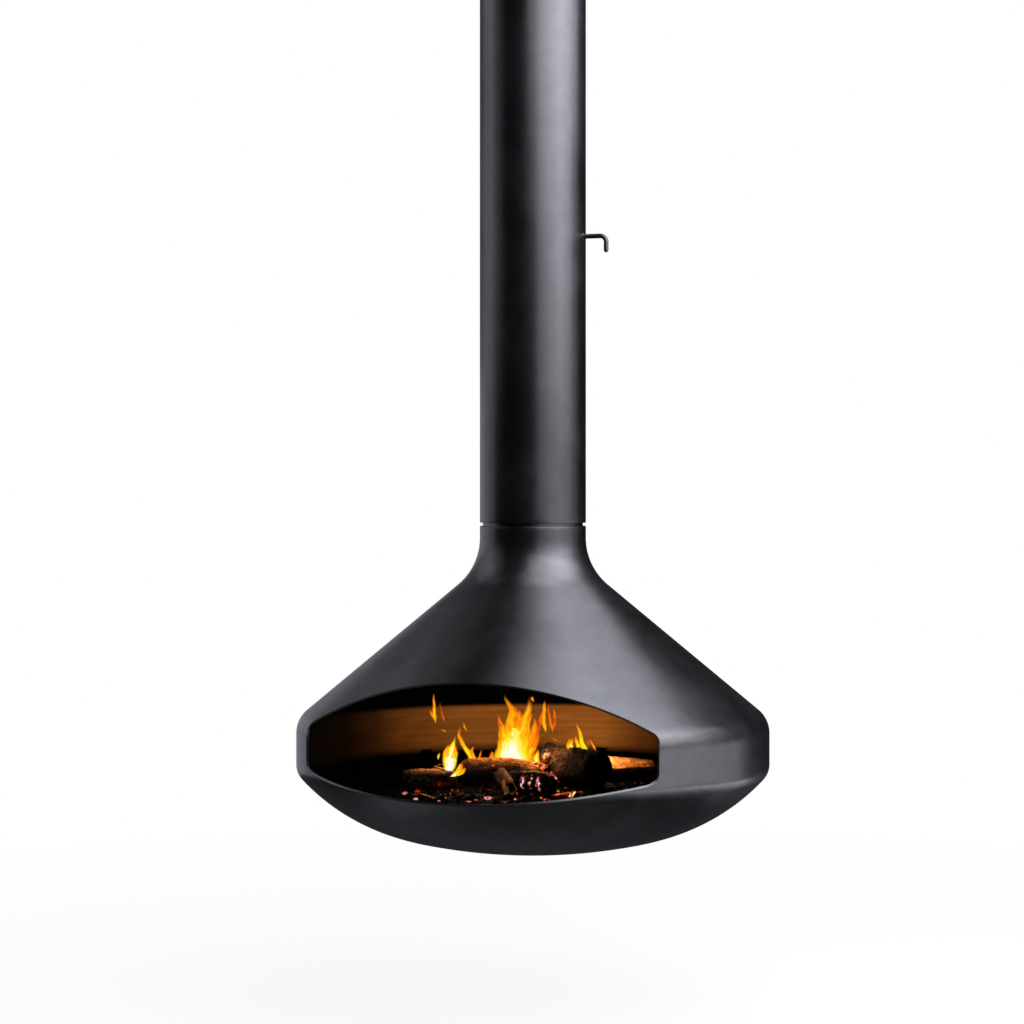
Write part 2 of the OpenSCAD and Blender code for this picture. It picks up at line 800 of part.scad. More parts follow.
module log_middle() {
    color(bark_brown) firewood([-0.523, 0.18], [0.035, 0.166], log_middle_r, 150, 0.36 * log_middle_r);
}

module log_front() {
    color(char_black) firewood([0.145, -0.088], [-0.131, -0.021], log_front_r, 160, 0.23 * log_front_r);
}

module log_right() {
    color(char_black) firewood([-0.023, 0.453], [0.317, 0.203], log_right_r, 130, 0.29 * log_right_r);
}

module log_rear() {
    color(bark_brown) firewood([0.253, 0.599], [0.538, 0.773], log_rear_r, 170, 0.35 * log_rear_r);
}

ceiling_plate();
hanging_bolts();
ceiling_cover();
cover_screws();
flue_tube();
damper_bushes();
damper_rod();
damper_blade();
blade_clamps();
blade_screws();
blade_nuts();
damper_collars();
collar_screws();
spring_washers();
swivel_spindle();
swivel_nut();
nut_screws();
lower_race();
bearing_cage();
bearing_balls();
upper_race();
neck_ring();
guide_bush();
rope_seal();
hearth_shell();
mouth_lip();
fireback();
fireback_clips();
fireback_spacers();
tray_ring();
ash_pan();
fire_plate();
ember_bed();
log_left();
log_middle();
log_front();
log_right();
log_rear();
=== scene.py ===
import bpy, bmesh, math, random
import numpy as np
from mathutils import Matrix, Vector, noise


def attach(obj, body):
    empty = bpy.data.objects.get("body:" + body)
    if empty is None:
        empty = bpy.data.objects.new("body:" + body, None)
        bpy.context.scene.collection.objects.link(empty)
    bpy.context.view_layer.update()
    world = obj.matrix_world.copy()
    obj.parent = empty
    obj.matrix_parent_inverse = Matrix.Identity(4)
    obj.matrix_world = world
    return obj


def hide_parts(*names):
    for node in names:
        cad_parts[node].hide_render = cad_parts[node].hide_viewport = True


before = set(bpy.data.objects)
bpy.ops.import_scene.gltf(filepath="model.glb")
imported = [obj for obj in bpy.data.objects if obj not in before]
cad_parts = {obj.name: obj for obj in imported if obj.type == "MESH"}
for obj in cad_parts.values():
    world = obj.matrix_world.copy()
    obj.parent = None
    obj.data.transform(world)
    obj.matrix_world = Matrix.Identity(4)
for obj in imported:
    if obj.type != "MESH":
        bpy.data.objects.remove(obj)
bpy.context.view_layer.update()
grooveZ = -1.58  # middle of the swivel groove, which the heights below are measured from
emberTop = -0.572  # top of the bed of embers
print("frame loaded:", len(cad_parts), "nodes")

studio = {  # the camera, where the axis and the horizon lie in its frame, and the set round the object
    "cameraAzimuth": 19.3, "cameraDistance": 5.306, "cameraHeight": 0.0896, "lens": 87.9,
    "focalPixels": 2500, "axisX": 532.9, "horizonY": 482.0, "shiftX": -0.0204, "shiftY": -0.0293,
    "floorZ": -2.6, "floorSize": 60.0, "worldFill": 0.30,
    "tentR": 3.3, "tentSides": 72, "tentTop": 2.2, "tentGlow": 0.006, "underGlow": 0.05,
}


class Wire:
    # One socket of a node tree; arithmetic on it adds Math nodes
    def __init__(self, tree, socket=None):
        self.tree, self.socket = tree, socket

    def node(self, kind, settings=None, values=None, out=0):
        made = self.tree.nodes.new(kind)
        for name, value in (settings or {}).items():
            if name == "stops":
                ramp = made.color_ramp
                ramp.elements.remove(ramp.elements[1])
                for number, (place, colour) in enumerate(value):
                    element = ramp.elements.new(place) if number else ramp.elements[0]
                    element.position = place
                    element.color = (*colour, 1)
            else:
                setattr(made, name, value)
        for name, value in (values or {}).items():
            if isinstance(value, Wire):
                self.tree.links.new(value.socket, made.inputs[name])
            else:
                made.inputs[name].default_value = value
        return Wire(self.tree, made.outputs[out])

    def calc(self, operation, *others, clamp=False):
        settings = {"operation": operation, "use_clamp": clamp}
        return self.node("ShaderNodeMath", settings, dict(enumerate((self, *others))))

    def __add__(self, other): return self.calc("ADD", other)
    def __mul__(self, other): return self.calc("MULTIPLY", other)
    def __sub__(self, other): return self.calc("SUBTRACT", other)
    __radd__, __rmul__ = __add__, __mul__

    def __rsub__(self, other):
        return self.node("ShaderNodeMath", {"operation": "SUBTRACT"}, {0: other, 1: self})

    def clamp(self):
        return self.calc("ADD", 0.0, clamp=True)

    def span(self, low, high):  # 0 below low and 1 above high, smooth between
        settings = {"interpolation_type": "SMOOTHSTEP"}
        return self.node("ShaderNodeMapRange", settings, {"Value": self, "From Min": low, "From Max": high})

    def mix(self, first, second):  # from the first colour at 0 to the second at 1
        return self.node("ShaderNodeMix", {"data_type": "RGBA"}, {0: self, 6: first, 7: second}, out=2)

    def ramp(self, *stops):
        return self.node("ShaderNodeValToRGB", {"stops": stops}, {"Fac": self})

    def noise(self, scale, detail=3.0, rough=0.55, twist=0.0):
        values = {"Vector": self, "Scale": scale, "Detail": detail, "Roughness": rough, "Distortion": twist}
        return self.node("ShaderNodeTexNoise", {}, values)

    def cells(self, scale):
        return self.node("ShaderNodeTexVoronoi", {}, {"Vector": self, "Scale": scale})

    def stretch(self, x, y, z, turn=(0, 0, 0)):
        return self.node("ShaderNodeMapping", {}, {"Vector": self, "Scale": (x, y, z), "Rotation": turn})

    def part(self, axis):  # one coordinate of a vector
        return self.node("ShaderNodeSeparateXYZ", {}, {"Vector": self}, out=axis)

    def mark(self, name, out="Fac"):  # what a piece's own attribute says
        return self.node("ShaderNodeAttribute", {"attribute_name": name}, out=out)


def grey(value):
    return (value, value, value, 1)


def newMaterial(name, fill):
    material = bpy.data.materials.new(name)
    material.use_nodes = True
    tree = material.node_tree
    shader = tree.nodes["Principled BSDF"]
    place = Wire(tree).node("ShaderNodeTexCoord", out=3)
    for socket, value in fill(place).items():
        if isinstance(value, Wire):
            tree.links.new(value.socket, shader.inputs[socket])
        else:
            shader.inputs[socket].default_value = value
    return material


def bump(height, strength, distance):
    return height.node("ShaderNodeBump", {}, {"Height": height, "Strength": strength, "Distance": distance})


paint = {
    "colour": (0.0010, 0.00105, 0.0013, 1), "warm": (0.0030, 0.0022, 0.0018, 1),
    "pale": (0.0022, 0.0023, 0.0028, 1), "cloudScale": 7.0, "grainScale": 900.0, "roughLow": 0.27,
    "roughHigh": 0.345, "waxy": 0.40,
}


def stovePaint(place):
    cloud = place.noise(paint["cloudScale"], 5, 0.62, 0.6)
    patch = place.stretch(1, 1, 0.45).noise(17, 4, 0.7, 0.9)
    warmToneAndSheen = place.noise(2.6, 3, 0.6, 1.2)
    grain = place.noise(paint["grainScale"], 2, 0.6)
    colour = cloud.span(0.35, 0.70).mix(paint["colour"], paint["pale"])
    # random warm patches in the paint, partly a painted reflection: they stand in for the warm tint of its
    # highlights
    colour = (warmToneAndSheen.span(0.45, 0.72) * 0.7).mix(colour, paint["warm"])
    uneven = (0.55 * cloud + 0.45 * patch).span(0.32, 0.68)
    rough = paint["roughLow"] + (paint["roughHigh"] - paint["roughLow"]) * uneven
    return {
        "Base Color": colour, "Roughness": rough, "IOR": 1.52, "Specular IOR Level": 1.0,
        "Coat Roughness": 0.33,
        "Coat Weight": paint["waxy"] * (0.6 * cloud + 0.4 * place.noise(24, 4, 0.65, 0.8)).span(0.36, 0.66),
        "Normal": bump(grain * 0.35 + patch * 0.65, 0.12, 0.0004),
    }


def sootBlack(place):
    cloud = place.noise(14, 4, 0.65, 0.4)
    colour = cloud.span(0.4, 0.75).mix(grey(0.0003), (0.0010, 0.0008, 0.0007, 1))
    return {"Base Color": colour, "Roughness": 0.90 + 0.08 * cloud, "Specular IOR Level": 0.01,
            "Normal": bump(place.noise(160, 3, 0.7), 0.25, 0.0006)}


fireback = {  # the sheet behind the fire: its foot and head, and over what height it turns black beyond them
    "foot": -0.533, "footFade": 0.026, "head": -0.4320, "headFade": 0.011,
    # painted firelight and shade across the sheet as the camera sees it, partly real sooting: black at the
    # left, brightest on the right where the flames light it
    "firelightSootScale": 1.25, "firelightSootShift": 0.595, "firelitAndClean": [
        (0.0, 0.0), (0.08, 0.015), (0.155, 0.10), (0.22, 0.30), (0.34, 0.56), (0.445, 0.70), (0.60, 0.76),
        (0.75, 1.0), (0.80, 0.92), (0.845, 0.62), (0.90, 0.30), (1.0, 0.05)],
}


def heatedSteel(place):
    f, height = fireback, place.part(2)
    streak = place.stretch(5, 5, 110).noise(1, 4, 0.6, 0.5)
    stain = place.stretch(7, 7, 22).noise(1, 4, 0.65, 1.0)
    tone = (0.6 * streak + 0.4 * stain).span(0.30, 0.72)
    colour = tone.mix((0.205, 0.092, 0.025, 1), (0.330, 0.158, 0.046, 1))
    edge = ((height - (grooveZ + f["foot"])).span(0.0, f["footFade"])
            * (1 - (height - (grooveZ + f["head"])).span(0.0, f["headFade"])))
    turn = math.radians(studio["cameraAzimuth"])
    across = math.cos(turn) * place.part(0) + math.sin(turn) * place.part(1)
    # painted firelight and shade: brighter where the flames light the sheet, darker away from them; partly
    # real sooting
    firelightAndSoot = (across * f["firelightSootScale"] + f["firelightSootShift"] + 0.05 * (stain - 0.5)).ramp(
        *((at, (share, share, share)) for at, share in f["firelitAndClean"]))
    return {"Base Color": (edge * firelightAndSoot).mix((0.0006, 0.0004, 0.0003, 1), colour),
            "Roughness": 0.68 + 0.2 * tone, "Specular IOR Level": 0.03, "Normal": bump(streak, 0.15, 0.0008)}


def castIron(place):
    speck = place.noise(420, 3, 0.7)
    ash = place.noise(11, 5, 0.7, 0.8)
    colour = ash.span(0.52, 0.80).mix(grey(0.0007), (0.0022, 0.0020, 0.0019, 1))
    return {"Base Color": colour, "Roughness": 0.80 + 0.15 * speck, "Specular IOR Level": 0.05,
            "Normal": bump(speck, 0.5, 0.0007)}


def blackPaint(place):
    cloud = place.noise(30, 4, 0.6)
    colour = cloud.span(0.3, 0.8).mix(grey(0.0035), grey(0.009))
    return {"Base Color": colour, "Roughness": 0.55 + 0.2 * cloud,
            "Normal": bump(place.noise(700, 2, 0.6), 0.15, 0.0003)}


def zincSteel(place):
    spangle = place.cells(420)
    haze = place.noise(90, 4, 0.7)
    colour = spangle.span(0.0, 0.9).mix((0.50, 0.51, 0.53, 1), (0.66, 0.67, 0.68, 1))
    return {"Base Color": colour, "Metallic": 1.0, "Roughness": 0.30 + 0.22 * haze,
            "Normal": bump(haze, 0.10, 0.0002)}


def groundSteel(place):
    lines = place.stretch(1, 1, 40).noise(60, 3, 0.7)
    return {"Base Color": lines.mix((0.55, 0.55, 0.57, 1), (0.72, 0.72, 0.74, 1)), "Metallic": 1.0,
            "Roughness": 0.14 + 0.14 * lines, "Normal": bump(lines, 0.05, 0.0001)}


def bronzeMetal(place):
    stain = place.noise(55, 5, 0.65)
    colour = stain.span(0.35, 0.7).mix((0.45, 0.27, 0.11, 1), (0.62, 0.43, 0.20, 1))
    return {"Base Color": colour, "Metallic": 1.0, "Roughness": 0.30 + 0.2 * stain,
            "Normal": bump(stain, 0.08, 0.0002)}


def ropeFibre(place):
    strand = place.stretch(1, 1, 1, (0.6, 0.5, 0.3)).noise(520, 2, 0.5)
    return {"Base Color": strand.span(0.3, 0.7).mix((0.42, 0.39, 0.33, 1), (0.80, 0.77, 0.69, 1)),
            "Roughness": 0.95, "Normal": bump(strand, 0.8, 0.0012)}


finishes = {fill.__name__: newMaterial(fill.__name__, fill) for fill in (
    stovePaint, sootBlack, heatedSteel, castIron, blackPaint, zincSteel, groundSteel, bronzeMetal, ropeFibre)}
cadFinish = {
    "stovePaint": ["ceiling_cover", "flue_tube", "damper_rod", "swivel_spindle", "hearth_shell", "mouth_lip"],
    "blackPaint": ["ceiling_plate", "damper_blade", "neck_ring", "swivel_nut"],
    "sootBlack": ["fireback_clips", "fireback_spacers", "tray_ring", "ash_pan"],
    "zincSteel": ["hanging_bolts", "cover_screws", "blade_clamps", "blade_screws", "blade_nuts",
                  "damper_collars", "collar_screws", "spring_washers", "nut_screws"],
    "groundSteel": ["lower_race", "upper_race", "bearing_balls"],
    "bronzeMetal": ["damper_bushes", "bearing_cage", "guide_bush"],
    "ropeFibre": ["rope_seal"],
    "heatedSteel": ["fireback"],
    "castIron": ["fire_plate", "ember_bed", "log_left", "log_middle", "log_front", "log_right", "log_rear"],
}
for finish, nodes in cadFinish.items():
    for node in nodes:
        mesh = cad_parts[node].data
        mesh.materials.clear()
        mesh.materials.append(finishes[finish])
print("finishes set")


def addObject(name, data):
    thing = bpy.data.objects.new(name, data)
    bpy.context.scene.collection.objects.link(thing)
    return thing


def fitPiece(name, mesh, body, replaced):  # the piece rides its body, in place of the nodes it replaces
    piece = addObject(name, mesh)
    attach(piece, body)
    if replaced:
        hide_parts(*replaced)
    return piece


def addPiece(name, points, faces, materials, body, replaced=(), slots=None):
    mesh = bpy.data.meshes.new(name)
    mesh.from_pydata([tuple(p) for p in points], [], faces)
    for material in materials:
        mesh.materials.append(material)
    if slots is not None:
        mesh.polygons.foreach_set("material_index", slots)
    mesh.polygons.foreach_set("use_smooth", [True] * len(mesh.polygons))
    mesh.validate()
    return fitPiece(name, mesh, body, replaced)


# The hearth's outer wall: straight neck, hollow curve, cone, shoulder, band, turned edge, bowl
hearth = {
    "neckR": 0.1125, "grooveHalf": 0.0035, "neckH": 0.0287, "coneAngle": 50.3, "neckCurveR": 0.129,
    "bodyR": 0.5, "shoulderR": 0.058, "bandH": 0.109, "bowlH": 0.1705, "chineR": 0.040, "bowlAngle": 42.5,
    "sideR": 0.425, "wall": 0.004, "turnSteps": 240, "neckEdge": 0.0012, "neckEdgeSteps": 3,
    "arcSteps": {"neck": 60, "shoulder": 40, "chine": 30, "side": 60, "bottom": 50},
    "rows": [3, 16, 20, 12, 10, 6, 8, 14, 34],  # from one mark of the wall to the next, see makeShell
}


def onArc(centre, r, start, end, steps):
    turn = np.radians(np.linspace(start, end, steps))
    out = np.stack([np.cos(turn), np.sin(turn)], 1)
    return np.hstack([np.array(centre) + r * out, out])


def wallTable():
    h, steps = hearth, hearth["arcSteps"]
    slope, bowl = math.radians(h["coneAngle"]), math.radians(h["bowlAngle"])
    coneTop = -h["neckH"] - h["neckCurveR"] * math.tan(slope / 2)
    bandTop = coneTop - (h["bodyR"] - h["neckR"]) / math.tan(slope)
    bandFoot = bandTop - h["bandH"]
    bowlFoot = bandFoot - h["bowlH"]
    shoulderC = (h["bodyR"] - h["shoulderR"], bandTop - h["shoulderR"] * math.tan(slope / 2))
    chineC = np.array([h["bodyR"] - h["chineR"], bandFoot + h["chineR"] * math.tan(bowl / 2)])
    sideC = chineC + (h["chineR"] - h["sideR"]) * np.array([math.cos(bowl), -math.sin(bowl)])
    rise = sideC[1] - bowlFoot
    bottomR = (sideC[0] ** 2 + rise ** 2 - h["sideR"] ** 2) / (2 * (rise - h["sideR"]))
    bottomC = np.array([0, bowlFoot + bottomR])
    sideFoot = math.degrees(math.atan2(*(sideC - bottomC)[::-1]))
    neckC = (h["neckR"] + h["neckCurveR"], -h["neckH"])
    neck = onArc(neckC, h["neckCurveR"], 180, 180 + h["coneAngle"], steps["neck"])
    neck[:, 2:] *= -1  # the curve is hollow, so its outside looks to the arc's centre
    parts = [
        np.array([[h["neckR"], -h["grooveHalf"], 1, 0]]), neck,
        onArc(shoulderC, h["shoulderR"], h["coneAngle"], 0, steps["shoulder"]),
        onArc(chineC, h["chineR"], 0, -h["bowlAngle"], steps["chine"]),
        onArc(sideC, h["sideR"], -h["bowlAngle"], sideFoot, steps["side"])[1:],
        onArc(bottomC, bottomR, sideFoot, -90, steps["bottom"])[1:],
    ]
    return np.vstack(parts), np.cumsum([len(part) for part in parts]), bandTop


wallPoints, partEnds, bandTop = wallTable()  # r, z and outward direction of each point
wallRun = np.concatenate([[0], np.cumsum(np.hypot(*np.diff(wallPoints[:, :2], axis=0).T))])


def wallAt(run, inset=0.0):
    r, z, nr, nz = (np.interp(run, wallRun, wallPoints[:, i]) for i in range(4))
    size = np.hypot(nr, nz)
    return r - inset * nr / size, z - inset * nz / size


def wallRunAt(height, inset=0.0):
    r, z = wallAt(wallRun, inset)
    return np.interp(-np.asarray(height), -z, wallRun)


def onWall(turn, run, inset=0.0):  # turn is measured from the middle of the mouth
    r, z = wallAt(run, inset)
    return np.stack(np.broadcast_arrays(r * np.sin(turn), -r * np.cos(turn), z + grooveZ), -1)


mouth = {
    "width": 0.745, "topUp": 0.099, "sillDown": 0.1235, "archRise": 0.098, "sillRise": 0.038,
    "topR": 0.024, "sillR": 0.022, "lipDepth": 0.008, "lipT": 0.004, "edge": 0.0038, "lipEdge": 0.0011,
    "bevel": [(0.95, 0.01), (0.84, 0.05), (0.16, 0.32), (0.05, 0.36), (0.0, 0.42)],  # outwards, backwards
    "patchTop": -0.215, "patchFoot": -0.628, "acrossSteps": 88, "upSteps": 50, "ringSteps": 26,
    "ringEase": 1.7, "cornerSteps": 40, "longSteps": 160,
}


def mouthLine(grow, across, up):
    # Outline of the mouth in x and height: four sides cut at the middles of its corners, from the lower right
    m = mouth
    half = m["width"] / 2
    archR = (half ** 2 + m["archRise"] ** 2) / (2 * m["archRise"])
    sillR = (half ** 2 + m["sillRise"] ** 2) / (2 * m["sillRise"])
    archC = np.array([0, bandTop + m["topUp"] - archR])
    sillC = np.array([0, bandTop - m["sillDown"] + sillR])
    topX, sillX = half - m["topR"], half - m["sillR"]
    topC = np.array([topX, archC[1] + math.sqrt((archR - m["topR"]) ** 2 - topX ** 2)])
    footC = np.array([sillX, sillC[1] - math.sqrt((sillR - m["sillR"]) ** 2 - sillX ** 2)])
    sillEnd = math.degrees(math.atan2(*(footC - sillC)[::-1]))
    archEnd = math.degrees(math.atan2(*(topC - archC)[::-1]))

    def arc(centre, r, start, end, steps=m["cornerSteps"]):
        return onArc(centre, r + grow, start, end, steps)[:, :2]

    right = np.vstack([arc(footC, m["sillR"], sillEnd / 2, 0), arc(topC, m["topR"], 0, archEnd / 2)])
    top = np.vstack([arc(topC, m["topR"], archEnd / 2, archEnd),
                     arc(archC, archR, archEnd, 90, m["longSteps"])[1:]])
    foot = np.vstack([arc(sillC, sillR, -90, sillEnd, m["longSteps"]),
                      arc(footC, m["sillR"], sillEnd, sillEnd / 2)[1:]])
    flip = np.array([-1, 1])
    sides = [
        (right, up), (np.vstack([top, top[-2::-1] * flip]), across),
        (right[::-1] * flip, up), (np.vstack([foot[::-1] * flip, foot[1:]]), across),
    ]
    line = []
    for side, steps in sides:
        run = np.concatenate([[0], np.cumsum(np.hypot(*np.diff(side, axis=0).T))])
        at = np.linspace(0, run[-1], steps + 1)[:-1]
        line.append(np.stack([np.interp(at, run, side[:, 0]), np.interp(at, run, side[:, 1])], 1))
    return np.vstack(line)


def lineOnWall(line, inset):  # turn and run of points that are given by x and height
    run = wallRunAt(line[:, 1], inset)
    r, z = wallAt(run, inset)
    return np.arcsin(line[:, 0] / r), run


def hearthSheet(inset, runs, turns, loop):
    # Grid round the axis with the mouth's patch left out, and rings from the patch's border to the given loop
    m = mouth
    half = m["acrossSteps"] // 2
    top, foot = (runs.index(min(runs, key=lambda run: abs(run - wallRunAt(m[end]))))
                 for end in ("patchTop", "patchFoot"))
    count = len(turns)
    points = [point for run in runs[:-1] for point in onWall(turns, run, inset)]
    pole = len(points)
    points.append(onWall(0.0, runs[-1], inset))
    faces = []

    def at(row, column):
        return row * count + column % count

    for row in range(len(runs) - 2):
        for column in range(-count // 2, count // 2):
            if top <= row < foot and -half <= column < half:
                continue
            faces.append((at(row, column), at(row + 1, column), at(row + 1, column + 1), at(row, column + 1)))
    last = len(runs) - 2
    faces += [(at(last, c), pole, at(last, c + 1)) for c in range(count)]
    border = [(row, half) for row in range(foot, top, -1)] + [(top, c) for c in range(half, -half, -1)]
    border += [(row, -half) for row in range(top, foot)] + [(foot, c) for c in range(-half, half)]
    outer = [at(*b) for b in border]
    borderTurn = np.array([b[1] * 2 * math.pi / count for b in border])
    borderRun = np.array([runs[b[0]] for b in border])
    innerTurn, innerRun = lineOnWall(loop, inset)
    previous = outer
    steps = m["ringSteps"]
    for ring in range(steps - 1, -1, -1):
        share = (ring / steps) ** m["ringEase"]
        turn = innerTurn + (borderTurn - innerTurn) * share
        run = innerRun + (borderRun - innerRun) * share
        current = addLoop(points, onWall(turn, run, inset))
        faces += band(previous, current)
        previous = current
    return points, faces, previous


def band(outer, inner):  # faces between two loops
    size = len(outer)
    return [(outer[i], outer[(i + 1) % size], inner[(i + 1) % size], inner[i]) for i in range(size)]


def tube(first, rows, count):  # faces between rows of points that follow one another
    loops = [range(first + row * count, first + (row + 1) * count) for row in range(rows)]
    return [face for pair in zip(loops, loops[1:]) for face in band(*pair)]


def addLoop(points, made):  # the numbers that the new points get
    start = len(points)
    points += list(made)
    return list(range(start, start + len(made)))


def onPlane(line, inset):  # points of a line in x and height, set on the wall's surface
    turn, run = lineOnWall(line, inset)
    return onWall(turn, run, inset)


def keepUsed(points, faces):  # leaves out the grid's points inside the mouth
    used = sorted({i for face in faces for i in face})
    place = {old: new for new, old in enumerate(used)}
    return [points[i] for i in used], [tuple(place[i] for i in face) for face in faces]


def makeShell():
    h, m = hearth, mouth
    turns = np.arange(h["turnSteps"]) * 2 * math.pi / h["turnSteps"]
    neckStart, shoulderStart, chineStart, sideStart = partEnds[:4]
    marks = [  # where curves and the mouth's patch start and end along the wall
        0, wallRun[neckStart], wallRun[shoulderStart - 1], wallRunAt(m["patchTop"]), wallRun[shoulderStart],
        wallRun[chineStart - 1], wallRun[chineStart], wallRun[sideStart - 1], wallRunAt(m["patchFoot"]),
        wallRun[-1],
    ]
    runs = [0.0]
    for start, end, steps in zip(marks, marks[1:], h["rows"]):
        runs += [float(run) for run in np.linspace(start, end, steps + 1)[1:]]
    line = mouthLine(m["edge"], m["acrossSteps"], m["upSteps"])
    edge = mouthLine(0.0, m["acrossSteps"], m["upSteps"])
    points, faces, loop = hearthSheet(0.0, runs, turns, line)
    innerPoints, innerFaces, innerLoop = hearthSheet(h["wall"], runs, turns, edge)
    lineY = onPlane(line, 0.0)[:, 1]
    for grow, back in m["bevel"]:  # the sheet's edge is bevelled at the same slope all round
        made = onPlane(mouthLine(m["edge"] * grow, m["acrossSteps"], m["upSteps"]), 0.0)
        made[:, 1] = lineY + m["edge"] * back
        following = addLoop(points, made)
        faces += band(loop, following)
        loop = following
    count = len(turns)
    neck = list(range(count))
    ease = h["neckEdge"]
    for i in neck:  # the neck's top edge is rounded
        points[i] = points[i] - np.array([0, 0, ease])
    for step in range(1, h["neckEdgeSteps"] + 1):
        turn = math.radians(step * 90 / h["neckEdgeSteps"])
        r = h["neckR"] - ease * (1 - math.cos(turn))
        z = grooveZ - h["grooveHalf"] - ease * (1 - math.sin(turn))
        following = addLoop(points, np.stack([r * np.sin(turns), -r * np.cos(turns), np.full(count, z)], 1))
        faces += band(neck, following)
        neck = following
    start = len(points)
    points += innerPoints
    outerFaces = len(faces)
    faces += [tuple(start + i for i in f[::-1]) for f in innerFaces]
    innerNeck = [start + i for i in range(count)]
    innerLoop = [start + i for i in innerLoop]
    rimFaces = band(loop, innerLoop) + band(neck, innerNeck)  # across the sheet, at the mouth and the neck
    slots = [0] * outerFaces + [1] * len(innerFaces) + [0] * len(rimFaces)
    return *keepUsed(points, faces + rimFaces), slots


points, faces, slots = makeShell()
addPiece("hearthShell", points, faces, [finishes["stovePaint"], finishes["sootBlack"]], "hearth",
         ["hearth_shell"], slots)
print("hearth shell:", len(faces), "faces")


def makeLip():  # a strip behind the edge of the mouth, square to the wall, with its corners eased
    h, m = hearth, mouth
    ease, deep = m["lipEdge"], h["wall"] + m["lipDepth"]
    ring = [(0.0, h["wall"]), (0.0, deep - ease), (ease * 0.3, deep - ease * 0.3), (ease, deep),
            (m["lipT"] - ease, deep), (m["lipT"] - ease * 0.3, deep - ease * 0.3), (m["lipT"], deep - ease),
            (m["lipT"], h["wall"])]
    points, loops = [], []
    for grow, inset in ring:
        loops.append(addLoop(points, onPlane(mouthLine(grow, m["acrossSteps"], m["upSteps"]), inset)))
    faces = []
    for first, second in zip(loops, loops[1:] + loops[:1]):
        faces += band(first, second)
    return points, faces


points, faces = makeLip()
addPiece("mouthLip", points, faces, [finishes["sootBlack"]], "hearth", ["mouth_lip"])
print("mouth lip:", len(faces), "faces")


def inView(x, y, back):
    # World place of a point of the frame (1024 x 1024) that lies this far behind the hearth's axis
    depth = studio["cameraDistance"] + back
    turn = math.radians(studio["cameraAzimuth"])
    right = (x - studio["axisX"]) * depth / studio["focalPixels"]
    height = studio["cameraHeight"] - (y - studio["horizonY"]) * depth / studio["focalPixels"]
    return np.array([right * math.cos(turn) - back * math.sin(turn),
                     right * math.sin(turn) + back * math.cos(turn), grooveZ + height])


def addFloats(piece, **values):  # a float attribute on the points for each name
    for name, value in values.items():
        layer = piece.data.attributes.new(name, "FLOAT", "POINT")
        layer.data.foreach_set("value", np.asarray(value, np.float32).ravel())


def startTree(name, inputs):
    # Geometry tree with named inputs; gives the tree and a wire from each input
    tree = bpy.data.node_groups.new(name, "GeometryNodeTree")
    for label, (kind, value) in inputs.items():
        socket = tree.interface.new_socket(label, in_out="INPUT", socket_type="NodeSocket" + kind)
        if kind in ("Float", "Int"):
            socket.default_value = value
    tree.interface.new_socket("Geometry", in_out="OUTPUT", socket_type="NodeSocketGeometry")
    source = tree.nodes.new("NodeGroupInput")
    return tree, {s.name: Wire(tree, s) for s in source.outputs if s.name}


def endTree(tree, shape, finish):
    whole = shape.node("GeometryNodeRealizeInstances", {}, {"Geometry": shape})
    dressed = whole.node("GeometryNodeSetMaterial", {}, {"Geometry": whole, "Material": finish})
    tree.links.new(dressed.socket, tree.nodes.new("NodeGroupOutput").inputs[0])


def growPiece(name, tree, values, start, body, replaced=()):
    # Runs the tree on the start mesh and keeps the result as a plain mesh
    base = addObject(name + "Base", start)
    grower = base.modifiers.new("tree", "NODES")
    grower.node_group = tree
    for item in tree.interface.items_tree:
        if item.in_out == "INPUT" and item.name in values:
            grower[item.identifier] = values[item.name]
    bpy.context.view_layer.update()
    grown = base.evaluated_get(bpy.context.evaluated_depsgraph_get())
    mesh = bpy.data.meshes.new_from_object(grown, depsgraph=bpy.context.evaluated_depsgraph_get())
    mesh.name = name
    bpy.data.objects.remove(base)
    return fitPiece(name, mesh, body, replaced)


flue = {
    "outerR": hearth["neckR"], "innerR": 0.1095, "shoulder": 0.002, "spigotR": 0.11175, "spigotTop": 0.082,
    "foot": grooveZ + hearth["grooveHalf"], "ease": 0.0010, "easeSteps": 4, "steps": 192, "rows": 40,
    "innerRows": 20, "rodZ": -0.973, "bushHoleR": 0.0082, "drillSides": 48, "drillLength": 0.4,
    "sharpAngle": 0.6,
}


def flueTree():
    # The wall's section is swept round a circle, and the bushes' hole is drilled through both sides
    f = flue
    tree, given = startTree("flueTree", {
        "Profile": ("Geometry", None), "Radius": ("Float", f["outerR"]), "Steps": ("Int", f["steps"]),
        "Hole height": ("Float", f["rodZ"]), "Hole radius": ("Float", f["bushHoleR"]),
        "Finish": ("Material", None),
    })
    profile = given["Profile"].node("GeometryNodeMeshToCurve", {}, {"Mesh": given["Profile"]})
    path = profile.node("GeometryNodeCurvePrimitiveCircle", {}, {
        "Resolution": given["Steps"], "Radius": given["Radius"]})
    tube = path.node("GeometryNodeCurveToMesh", {}, {"Curve": path, "Profile Curve": profile})
    drill = tube.node("GeometryNodeMeshCylinder", {}, {
        "Vertices": f["drillSides"], "Radius": given["Hole radius"], "Depth": f["drillLength"]})
    height = tube.node("ShaderNodeCombineXYZ", {}, {"Z": given["Hole height"]})
    drill = drill.node("GeometryNodeTransform", {}, {
        "Geometry": drill, "Translation": height, "Rotation": (0, math.pi / 2, 0)})
    cut = tube.node("GeometryNodeMeshBoolean", {"operation": "DIFFERENCE", "solver": "EXACT"},
                    {"Mesh 1": tube, "Mesh 2": drill})
    endTree(tree, cut, given["Finish"])
    return tree


